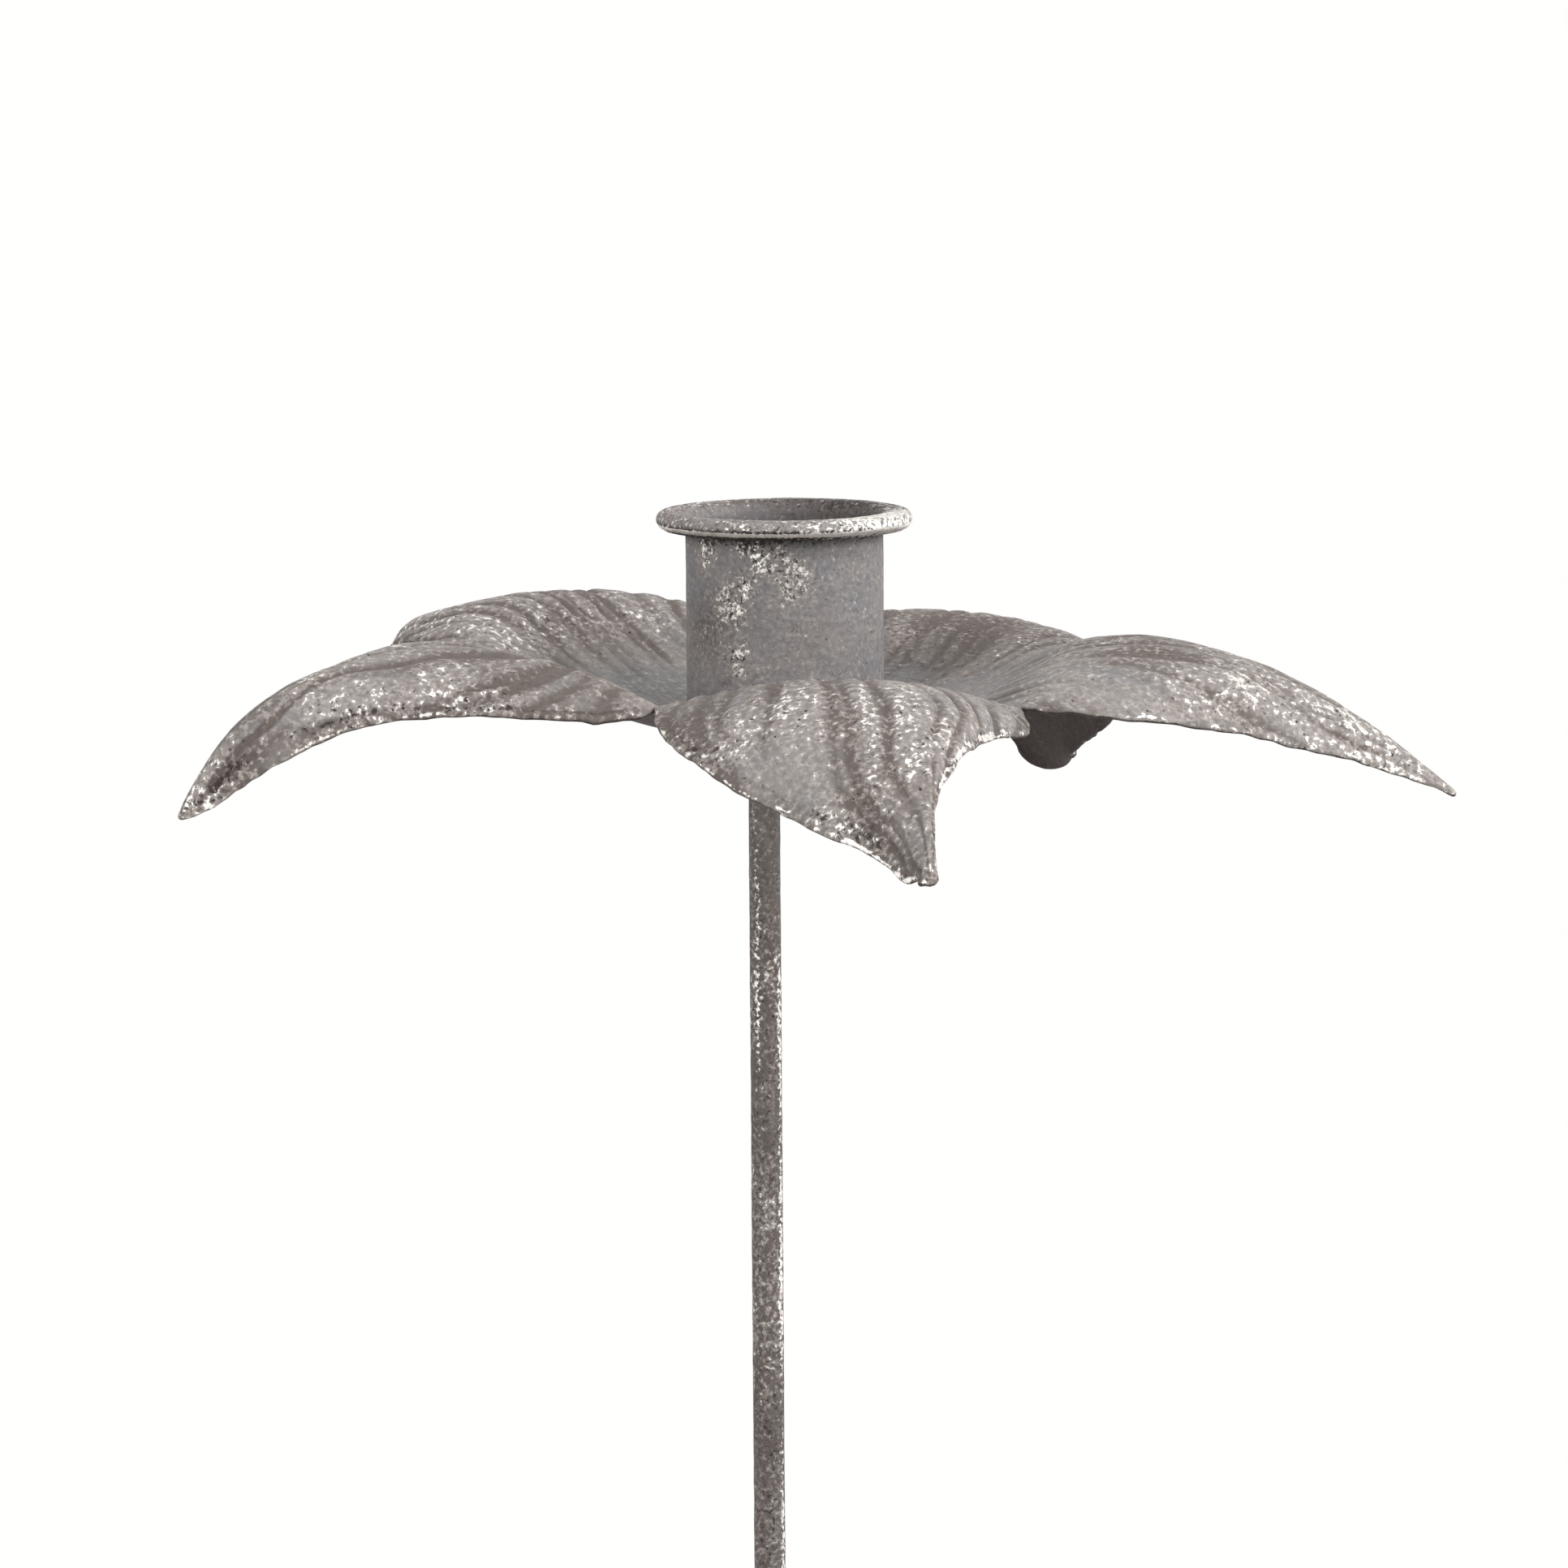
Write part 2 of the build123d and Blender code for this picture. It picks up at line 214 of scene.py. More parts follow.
# The patches that show in the photograph, petal by petal.
MARKS = (
    (Mark((63.5, -14.0), (7.0, 5.5), film=-0.3, wear=-0.2, smooth=0.9),
     Mark((70.5, -5.3), (5.5, 2.2), film=0.5, wear=-0.1, dark=0.15),
     Mark((72.0, -7.5), (3.5, 3.5), wear=-0.1, dark=0.25),
     Mark((62.0, 1.0), (8.0, 6.0), wear=0.35),
     Mark((53.5, -13.0), (3.5, 8.0), wear=0.45),
     Mark((53.0, -22.5), (10.0, 2.6), film=0.9, wear=-0.2, dark=0.2),
     Mark((53.0, 13.0), (11.0, 9.0), bright=1.0),
     Mark((70.0, 5.0), (9.0, 5.0), bright=1.0),
     Mark((72.0, -10.0), (8.0, 6.0), bright=0.12)),
    (Mark((42.0, -18.0), (8.0, 5.0), film=-0.8, wear=-0.05, smooth=0.7),
     Mark((63.0, -6.0), (12.0, 6.0), film=-0.2, wear=0.4),
     Mark((75.0, -3.5), (8.0, 5.0), film=-0.3, wear=0.3, bright=0.4),
     Mark((44.0, -5.0), (7.0, 6.0), film=0.3, wear=-0.1),
     Mark((56.0, -3.0), (12.0, 3.0), film=0.3, wear=-0.05)),
    # The back right petal's first three marks darken its hollow, which faces away from the key lamp: their
    # film and dark there are painted shade.
    (Mark((41.0, -5.5), (5.0, 12.0), film=0.4, wear=-0.05, dark=0.2),
     Mark((34.0, -5.0), (5.0, 12.0), film=0.25, wear=-0.1, dark=0.25),
     Mark((27.0, -4.0), (6.0, 12.0), film=0.2, dark=0.4),
     Mark((79.0, -4.0), (7.0, 5.0), smooth=1.0)),
    (Mark((35.5, 0.5), (4.5, 6.5), film=0.5, wear=0.2, dark=0.1),
     Mark((38.5, 13.0), (6.0, 6.0), film=-0.3, wear=0.5),
     Mark((31.5, -10.5), (4.5, 5.0), wear=0.3)),
    (Mark((50.0, 14.5), (6.5, 2.6), wear=0.4, dark=0.3),
     Mark((56.0, 8.0), (5.0, 4.0), wear=-0.25),
     Mark((77.5, 1.2), (2.6, 1.4), wear=0.3, dark=0.35),
     Mark((65.0, 5.5), (7.0, 2.8), film=-0.5, wear=-0.3, smooth=0.5),
     Mark((72.0, 0.0), (8.0, 2.5), film=0.5),
     Mark((82.0, 1.5), (2.5, 1.5), bright=0.7)),
)

# ---- socket: where its curl ends, in degrees from level, and the relief of its lip and wall
SOCKET_TURNS = 240
LIP_RADIUS = 16
CURL_END = -98
CURL_WOBBLE = ((12, 7.0, 21), (5, 2.2, 22))
LIP_INSET = -0.16
LIP_DENTS = ((0.05, 3.0, 23), (0.02, 1.0, 24))
WALL_INSET = -0.02
WALL_DENTS = ((0.05, 9.0, 25), (0.015, 2.0, 26))
# Where the lip is brightest, partly wear and partly a painted highlight on the side the key lamp lights,
# and where it is brownest.
LIP_RIGHT_AZIMUTH = -30
LIP_BACK_AZIMUTH = 45
# A brown rub on its wall: azimuth round its axis, height up it and how far it reaches both ways.
RUB_AZIMUTH = -141.0
RUB_HEIGHT = 12.5
RUB_HALF_ARC = 5.0
RUB_HALF_HEIGHT = 4.5
# Clusters of silver flecks: azimuth, height and reach.
FLECKS = ((-118.0, 17.2, 2.8), (-111.0, 22.3, 2.2), (-98.0, 20.8, 2.4), (-86.0, 18.2, 2.8),
          (-126.0, 14.0, 2.2), (-119.0, 8.3, 2.4), (-140.0, 21.5, 2.2), (-52.0, 17.5, 1.2))

# ---- rod
ROD_RADIUS = (ROD_HIGH[0] - ROD_LOW[0]) / 2
ROD_CHAMFER = 0.4
ROD_TURNS = 40
THREAD_PITCH = 0.7
THREAD_DEPTH = 0.36
THREAD_ABOVE_NUT = 3.2
THREAD_TOP = NUT_TOP + THREAD_ABOVE_NUT
CRUST_INSET = -0.06
# Silver strips down the rod, partly rubbed bare and partly painted highlight, the strongest one on the side
# that faces the key lamp: azimuth, lowest and highest point, and how strong.
STRIPS = ((-28.0, 60.0, 246.0, 1.15), (88.0, 120.0, 215.0, 0.8), (165.0, 30.0, 150.0, 0.6),
          (-122.0, 222.0, 270.0, 0.95), (-100.0, 60.0, 222.0, 0.4))
STRIP_HALF_ARC = 22
STRIP_FADE = 12

# ---- foot
FOOT_RADIUS = (FOOT_HIGH[0] - FOOT_LOW[0]) / 2
FOOT_THICKNESS = FOOT_HIGH[2] - FOOT_LOW[2]
FOOT_EDGE_ROUND = 1.2
FOOT_ARRIS = 0.4
FOOT_HOLE_FLOOR = ROD_LOW[2]
FOOT_HOLE_RADIUS = ROD_RADIUS + 0.05
FOOT_TURNS = 160
FOOT_INSET = -0.16
FOOT_DENTS = ((0.1, 9.0, 41), (0.05, 3.0, 42))
TURNING_PITCH = 1.6
TURNING_DEPTH = 0.02

# ---- solder and braze
RING_TURNS = 160


# ======== numbers and noise

def ramp(low, high, value):
    """0 below low, 1 above high, and a smooth S between: 3x squared less 2x cubed."""
    part = np.clip((value - low) / (high - low), 0, 1)
    return part * part * (3 - 2 * part)


def bell(value, width, centre=0):
    """1 at the centre and less away from it: e to the minus square of the distance in widths."""
    return np.exp(-((value - centre) / width) ** 2)


def unit(vectors):
    """The same directions with length 1."""
    return vectors / np.maximum(np.linalg.norm(vectors, axis=-1, keepdims=True), 1e-12)


def lattice_value(cell, seed):
    """A steady random number of -1 to 1 for each whole-number place, by mixing its bits."""
    mixed = (cell[..., 0] * 374761393 + cell[..., 1] * 668265263 + cell[..., 2] * 2147483647
             + seed * 144665) & 0xFFFFFFFF
    mixed = ((mixed ^ (mixed >> 13)) * 1274126177) & 0xFFFFFFFF
    return (mixed ^ (mixed >> 16)) / 2.0 ** 31 - 1


def noise(points, size, seed):
    """Smooth noise of -1 to 1: random values on a cubic lattice with this pitch in
    millimetres, and between them a blend by the smooth step of the place in the cell."""
    grid = points / size
    cell = np.floor(grid).astype(np.int64)
    part = grid - cell
    part = part * part * (3 - 2 * part)
    total = 0
    for corner in product((0, 1), repeat=3):
        weight = np.prod(np.where(corner, part, 1 - part), axis=-1)
        total = total + weight * lattice_value(cell + np.array(corner), seed)
    return total


def layered(points, layers):
    """The sum of some noises, each given by its height, its size and its seed."""
    return sum(height * noise(points, size, seed) for height, size, seed in layers)


def patches(points, size, seed, middle=0.5, contrast=0.9):
    """Soft patches of 0 to 1: noise of this size about a middle value, cut off at both ends."""
    return np.clip(middle + contrast * noise(points, size, seed), 0, 1)


# ======== meshes

def round_axis(radius, angle, height):
    """Points round an axis: x is the radius times the cosine, and y times the sine."""
    return np.stack(np.broadcast_arrays(radius * np.cos(angle), radius * np.sin(angle), height), -1)


def grid_quads(rows, columns, start, flipped):
    """Quads of a grid of vertices that faces the side of row direction x column direction."""
    index = start + np.arange(rows * columns).reshape(rows, columns)
    ring = [index[:-1, :-1], index[1:, :-1], index[1:, 1:], index[:-1, 1:]]
    if flipped:
        ring.reverse()
    return np.stack(ring, axis=-1).reshape(-1, 4)


def welded_object(name, points, quads, fields, material):
    """An object from points in metres and quads, with one value of each field for a point.
    Rows and poles that meet are welded, and its faces are smooth."""
    mesh = bpy.data.meshes.new(name)
    mesh.from_pydata(points.tolist(), [], quads.tolist())
    for key, values in fields.items():
        layer = mesh.attributes.new(key, "FLOAT", "POINT")
        layer.data.foreach_set("value", values.astype(np.float32))
    shell = bmesh.new()
    shell.from_mesh(mesh)
    bmesh.ops.remove_doubles(shell, verts=shell.verts, dist=WELD)
    shell.to_mesh(mesh)
    shell.free()
    mesh.polygons.foreach_set("use_smooth", np.ones(len(mesh.polygons), bool))
    mesh.materials.append(material)
    made = bpy.data.objects.new(name, mesh)
    bpy.context.scene.collection.objects.link(made)
    return made


def make_piece(name, grids, material, node):
    """A piece from grids, each of points in millimetres, a dictionary of fields for the
    material, and whether it is turned over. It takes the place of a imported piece."""
    points, quads, fields = [], [], {}
    count = 0
    for grid, grid_fields, flipped in grids:
        rows, columns = grid.shape[:2]
        points.append(grid.reshape(-1, 3) * MM)
        quads.append(grid_quads(rows, columns, count, flipped))
        count += rows * columns
        for key, values in grid_fields.items():
            fields.setdefault(key, []).append(np.broadcast_to(values, (rows, columns)).reshape(-1))
    fields = {key: np.concatenate(values) for key, values in fields.items()}
    piece = welded_object(name, np.concatenate(points), np.concatenate(quads), fields, material)
    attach(piece, "root")
    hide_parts(node)


# ======== flower dish

def quartic(start, start_slope, middle, end_slope, end, length):
    """Five control values of a curve with these ends and slopes that is `middle` halfway."""
    second = start + start_slope * length / 4
    fourth = end - end_slope * length / 4
    third = (16 * middle - start - 4 * second - 4 * fourth - end) / 6
    return np.array([start, second, third, fourth, end])[:, None]


def climb(height, rise):
    """Four control heights that leave the cup's floor level and reach `height` at `rise`."""
    span = CUP_RADIUS - CUP_FLOOR_RADIUS
    return np.array([0, 0, height - rise * span / 3, height])[:, None]


def cup_net(petal, right_notch_height):
    """A petal's share of the cup: radius steps along, a fifth of the circle across, and a
    height that is the mean of the two creases, a slant between them and an arch to the ridge."""
    radius = np.linspace(CUP_FLOOR_RADIUS, CUP_RADIUS, 4)[:, None]
    right = climb(right_notch_height, VALLEY_RISE)
    left = climb(petal.notch_height, VALLEY_RISE)
    ridge = climb(petal.neck_height, petal.neck_rise)
    mean = (left + right) / 2
    return np.stack([radius - radius * (1 - COS_HALF) * SQUARE,
                     radius * SIN_HALF * LINEAR,
                     mean + (left - right) / 2 * LINEAR + (ridge - mean) * FULL_ARCH], axis=-1)


def edge_curve(petal, edge, notch_height):
    """Reach, half width and height of a blade's free edge, five control values of each."""
    reach = quartic(CUP_RADIUS * COS_HALF, COS_HALF, EDGE_MIDDLE_REACH, 1,
                    PETAL_REACH - petal.tip_end.stand_out, BLADE_LENGTH)
    width = quartic(CUP_RADIUS * SIN_HALF, SIN_HALF - NOTCH_OPENING, edge.half_width,
                    -edge.taper, petal.tip_end.half_width, BLADE_LENGTH)
    height = quartic(notch_height, edge.rise, edge.height, -edge.fall, petal.tip_height, BLADE_LENGTH)
    return reach, width, height


def blade_net(petal, right_notch_height):
    """The free part of a petal: between its two edges the height is their mean, a slant from
    one to the other and an arch up to the ridge."""
    ridge = quartic(petal.neck_height, petal.neck_rise, petal.ridge_height, -petal.tip_fall,
                    petal.tip_height + petal.tip_end.stand_up, BLADE_LENGTH)
    left_reach, left_width, left_height = edge_curve(petal, petal.left, petal.notch_height)
    right_reach, right_width, right_height = edge_curve(petal, petal.right, right_notch_height)
    sway = np.array([0, 0, petal.bend / 6, petal.bend / 2, petal.bend])[:, None]
    reach = CUP_RADIUS + BLADE_LENGTH * np.arange(5)[:, None] / 4
    mean_reach = (left_reach + right_reach) / 2
    mean_height = (left_height + right_height) / 2
    return np.stack([
        reach + (left_reach - right_reach) / 2 * LINEAR + (mean_reach - reach) * SQUARE,
        sway + (left_width + right_width) / 2 * LINEAR + (left_width - right_width) / 2 * SQUARE,
        mean_height + (left_height - right_height) / 2 * LINEAR + (ridge - mean_height) * FULL_ARCH,
    ], axis=-1)


def bernstein(degree, place):
    """Bernstein's weights at places of 0 to 1: n over k, times x to the k, (1-x) to the rest."""
    return np.stack([comb(degree, k) * place ** k * (1 - place) ** (degree - k)
                     for k in range(degree + 1)], axis=-1)


def patch(net, along, across):
    """Points of a Bezier patch: its control net weighed by Bernstein's polynomials both ways."""
    return np.einsum("ak,bj,kjc->abc", bernstein(len(net) - 1, along),
                     bernstein(4, (across + 1) / 2), net)


def turned_about_z(points, azimuth):
    """The points turned about the axis by an azimuth in degrees."""
    c, s = cos(radians(azimuth)), sin(radians(azimuth))
    return points @ np.array([[c, s, 0], [-s, c, 0], [0, 0, 1]])


def petal_sheets():
    """The smooth upper skin of the petals, each a grid of rows outwards and columns across,
    in the petal's own frame and turned into the dish's."""
    step = np.linspace(-1, 1, ACROSS_STEPS + 1)
    across = (1 - EDGE_CROWDING) * step + EDGE_CROWDING * np.sin(pi / 2 * step)
    cup_rows = np.linspace(0, 1, CUP_ROWS + 1)
    blade_rows = np.linspace(0, 1, BLADE_ROWS + 1)[1:]
    own, turned = [], []
    for i, petal in enumerate(PETALS):
        right_notch = PETALS[i - 1].notch_height
        sheet = np.concatenate([patch(cup_net(petal, right_notch), cup_rows, across),
                                patch(blade_net(petal, right_notch), blade_rows, across)])
        own.append(sheet)
        turned.append(turned_about_z(sheet, FRONT_AZIMUTH + PETAL_PITCH * i))
    return np.array(own), np.array(turned), across


def sheet_normals(sheets):
    """Upward unit normals. Neighbours share theirs on the cup's seams, up to the notches."""
    along = np.gradient(sheets, axis=1)
    normals = unit(np.cross(along, np.gradient(sheets, axis=2)))
    seam = slice(0, CUP_ROWS + 1)
    shared = unit(normals[:, seam, -1] + np.roll(normals[:, seam, 0], -1, axis=0))
    normals[:, seam, -1] = shared
    normals[:, seam, 0] = np.roll(shared, 1, axis=0)
    normals[:, 0] = (0, 0, 1)
    return unit(along), normals


def vein_grooves(fan, half_width):
    """Depth of the pressed veins, 0 to 1. They spread from the cup like the ribs of a fan at
    uneven places, and across each one the depth is a bell curve."""
    chance = np.random.default_rng(11)
    shape = (len(PETALS), 1, 1, VEINS)
    pitch = 2.0 / VEINS
    places = np.linspace(-1, 1, VEINS) + chance.uniform(-0.35, 0.35, shape) * pitch
    widths = chance.uniform(0.5, 0.95, shape)
    depths = chance.uniform(0.45, 1.0, shape)
    away = (fan[..., None] - places) * half_width[..., None]
    return np.clip((depths * bell(away, widths)).sum(axis=-1), 0, 1)


def marked(key, own):
    """What the marks add to one field: each is a bell curve both out and across."""
    total = np.zeros(own.shape[:-1])
    for petal, marks in enumerate(MARKS):
        for mark in marks:
            away = (own[petal, ..., :2] - mark.place) / mark.reach
            total[petal] += getattr(mark, key) * np.exp(-(away ** 2).sum(axis=-1))
    return total


def flower_dish(material):
    """The dish's own mesh: the smooth skin, with veins, dents and a wavy beaded edge pressed
    into it, a skin one sheet lower, a rounded rim between them and the flat floor."""
    own, sheets, across = petal_sheets()
    tangents, normals = sheet_normals(sheets)
    place = across[None, None, :]
    radius = np.hypot(own[..., 0], own[..., 1])
    half_width = (np.linalg.norm(sheets[:, :, -1] - sheets[:, :, 0], axis=-1) / 2)[:, :, None]
    on_blade = ramp(CUP_RADIUS, CUP_RADIUS + 4, radius)
    row = np.arange(CUP_ROWS + BLADE_ROWS + 1)[None, :, None]
    to_tip = (CUP_ROWS + BLADE_ROWS - row) / BLADE_ROWS * BLADE_LENGTH
    inward = np.maximum(CUP_ROWS - row, 0) / CUP_ROWS * (CUP_RADIUS - CUP_FLOOR_RADIUS)
    to_side = (1 - np.abs(place)) * half_width + inward
    to_edge = np.minimum(to_side, to_tip)

    # veins and dents
    azimuth = np.arctan2(own[..., 1], own[..., 0]) / HALF_PITCH
    fan = VEIN_FAN * azimuth + (1 - VEIN_FAN) * place + 0.09 * noise(sheets, 11.0, 3)
    fan_width = VEIN_FAN * radius * HALF_PITCH + (1 - VEIN_FAN) * half_width
    grooves = vein_grooves(fan, fan_width)
    grooves *= ramp(*VEIN_START, radius) * (1 - 0.4 * ramp(*VEIN_FADE, radius))
    grooves *= patches(sheets, 8.0, 4, 0.75, 0.6)
    grooves *= 1 - np.abs(place) ** 10 * (1 - on_blade)
    grooves *= 1 - np.clip(marked("smooth", own), 0, 1)
    off_floor = ramp(CUP_FLOOR_RADIUS, CUP_FLOOR_RADIUS + 5, radius)
    rough = 0.35 + 0.65 * ramp(24, 38, radius)
    relief = off_floor * rough * layered(sheets, DENTS) - VEIN_DEPTH * grooves

    # the free edge: waves in and out and up and down, nicks, and a bead
    rims = np.where((place > 0)[..., None], sheets[:, :, -1:, :], sheets[:, :, :1, :])
    wave_out = WAVE_OUT * noise(rims, 8.0, 8) + NICK * noise(rims, 1.6, 9) - EDGE_INSET
    wave_up = WAVE_UP * noise(rims, 9.0, 10)
    near_side = np.exp(-to_side / 2.2) * on_blade * ramp(-4, 2, to_tip) * place ** 2
    near_tip = np.exp(-to_tip / 3.0) * on_blade
    outward = np.cross(tangents, -normals) * np.sign(place)[..., None]
    radial = unit(sheets * (1, 1, 0))
    lift = relief + wave_up * np.exp(-to_side / 5.0) * on_blade * place ** 2
    lift = lift * (0.25 + 0.75 * ramp(1, 8, to_tip))
    tops = sheets + normals * lift[..., None]
    tops = tops + outward * (wave_out * near_side)[..., None]
    tops = tops - radial * (EDGE_INSET * near_tip)[..., None]
    rounded = np.array(TIP_ROUND)[:, None, None] * bell(to_tip, 2.2) * place ** 2
    tops = tops - outward * rounded[..., None]
    to_right = np.where(place[0] < 0, place[0] ** 2, 0)
    for i, fuller, centre, reach in TIP_SWELLS:
        swell = fuller * bell(to_tip[0], reach, centre) * to_right
        tops[i] += outward[i] * swell[..., None]
    bead = BEAD * (0.6 + 0.6 * noise(sheets, 2.5, 12)) * bell(to_edge, BEAD_WIDTH) * on_blade
    bead = np.clip(bead * ramp(1, 5, to_tip), 0, None)[..., None]
    upper = tops + normals * bead
    under = upper - normals * (SHEET + 2 * bead)

    # where the patina stayed and where it was rubbed away; marks on the back right petal also paint shade
    # in its hollow
    patchy = patches(sheets, 7.0, 14)
    drift = patches(sheets, 15.0, 15)
    broken = 0.5 + 0.5 * noise(rims, 5.0, 16)
    beaded = patches(rims, 3.0, 18, 0.15, 1.1)
    chipped = patches(sheets, 1.8, 19, 0.6, 0.7)
    open_part = ramp(27, 39, radius)
    crest = bell(radius, 5, 45)
    past_crest = ramp(45, 53, radius)
    dirty = np.array(EDGE_DIRT)[:, None, None] * on_blade
    by_edge = bell(to_edge, 1.1) * dirty
    hollow = 1 - ramp(17, 34, radius)
    wear = open_part * (0.3 + 0.25 * patchy) + past_crest * (0.05 + 0.3 * patchy) - 0.1 * crest
    wear = np.clip(wear + marked("wear", own) - 1.1 * grooves, -0.4, 1.1)
    film = 1.5 * grooves + open_part * 0.25 * drift + 0.2 * crest + (0.5 + 0.6 * broken) * by_edge
    film = film + marked("film", own) - 0.2 * hollow
    edge_line = bell(to_edge, 0.35, 0.8) * dirty * np.clip(broken + 0.2, 0, 1)
    edge_rub = bell(to_edge, 0.7, 0.6) * on_blade * marked("bright", own) * chipped
    edge_shine = bell(to_edge, 0.25) * on_blade * beaded
    dark = 0.8 * edge_line * (1 - edge_rub) + marked("dark", own) + 0.25 * hollow * (1 - off_floor)
    fields = {
        "film": film,
        "wear": wear,
        "dark": np.clip(dark, 0, 1),
        "bright": 1.2 * edge_rub + 0.9 * edge_shine,
        "across": fan * fan_width,
        "along": radius,
    }
    underside_film_and_shade = {key: np.full_like(radius[0], level) for key, level in UNDERSIDE.items()}
    grids = []
    for i in range(len(PETALS)):
        own_fields = {key: values[i] for key, values in fields.items()}
        under_fields = {**own_fields, **underside_film_and_shade}
        grids += [
            (upper[i], own_fields, False),
            (under[i], under_fields, True),
            rim_strip(upper[i], under[i], own_fields),
            floor_sector(upper[i], own_fields, False),
            floor_sector(under[i], under_fields, True),
        ]
    placed = [(grid + DISH_PLACE, grid_fields, flipped) for grid, grid_fields, flipped in grids]
    make_piece("flower_dish_pressed", placed, material, "flower_dish")


def rim_strip(upper, under, fields):
    """A petal's rounded rim, from its left notch round the tip to the right one. Across it, a
    point is the middle of the cut edge, plus a cosine of the way up and a sine outwards."""
    def around(values):
        blade = values[CUP_ROWS:]
        return np.concatenate([blade[:, -1], blade[-1, -2:0:-1], blade[::-1, 0]])

    top, bottom = around(upper), around(under)
    middle = (top + bottom) / 2
    half = np.linalg.norm(top - bottom, axis=-1, keepdims=True) / 2
    outward = unit(np.cross(np.gradient(middle, axis=0), bottom - top))
    from_notch = np.cumsum(np.linalg.norm(np.diff(middle, axis=0, prepend=middle[:1]), axis=-1))
    from_notch = np.minimum(from_notch, from_notch[-1] - from_notch)[:, None]
    bulge = half * ramp(0, 3, from_notch) * (0.95 + 0.25 * noise(middle, 1.2, 13)[:, None])
    turn = pi * np.arange(RIM_STEPS + 2) / (RIM_STEPS + 1)
    strip = np.stack([middle + cos(a) * (top - middle) + sin(a) * bulge * outward for a in turn], axis=1)
    strip[:, 0] = top
    strip[:, -1] = bottom
    rim_fields = {key: around(values)[:, None] for key, values in fields.items()}
    rubbed = 0.35 + 0.8 * noise(middle, 3.0, 17)[:, None] + 0.4 * rim_fields["bright"]
    rim_fields["bright"] = bell(turn / pi, 0.2, 0.1)[None, :] * rubbed
    # Painted shade: the lower half of the cut edge faces down like the underside and is dark.
    rim_fields["dark"] = 1.3 * ramp(0.3, 0.5, turn / pi)[None, :] + 0.3 * rim_fields["dark"]
    return strip, rim_fields, False


def floor_sector(skin, fields, is_under):
    """A petal's share of the flat floor: the border drawn in evenly to the socket's axis."""
    share = np.linspace(1, 0, FLOOR_RINGS)[:, None, None]
    centre = np.array([0, 0, skin[0, 0, 2]])
    sector = centre + share * (skin[0] - centre)
    return sector, {key: values[0] for key, values in fields.items()}, not is_under


# ======== turned and drawn pieces

def swept_round(profile, turns, relief):
    """A profile of radius and height, one for all azimuths or one for each, carried round an
    axis. `relief` gives how far each point moves along the profile's normal, from the points."""
    angle = np.linspace(0, 2 * pi, turns + 1)[:, None]
    profile = np.broadcast_to(profile, (turns + 1,) + profile.shape[-2:])
    radius, height = profile[..., 0], profile[..., 1]
    step = np.gradient(profile, axis=1)
    normal = unit(np.stack([step[..., 1], -step[..., 0]], axis=-1))
    points = round_axis(radius, angle, height)
    outwards = round_axis(normal[..., 0], angle, normal[..., 1])
    points[-1] = points[0]
    outwards[-1] = outwards[0]
    return points + outwards * relief(points)[..., None]


def stretch(start, end, steps):
    """A straight run of a profile, without its last point."""
    share = np.arange(steps)[:, None] / steps
    return np.array(start) + share * (np.array(end) - np.array(start))


def path(*stops):
    """A profile through corners, given in turn with the number of steps to the next one."""
    runs = [stretch(*run) for run in zip(stops[::2], stops[2::2], stops[1::2])]
    return np.concatenate(runs + [np.array(stops[-1:])])


def bend(centre, radius, start, end, steps):
    """An arc of a profile in degrees, without its last point. The end may differ by azimuth."""
    share = np.arange(steps) / steps
    angle = np.radians(start + (np.asarray(end)[..., None] - start) * share)
    return np.stack([centre[0] + radius * np.cos(angle), centre[1] + radius * np.sin(angle)], axis=-1)


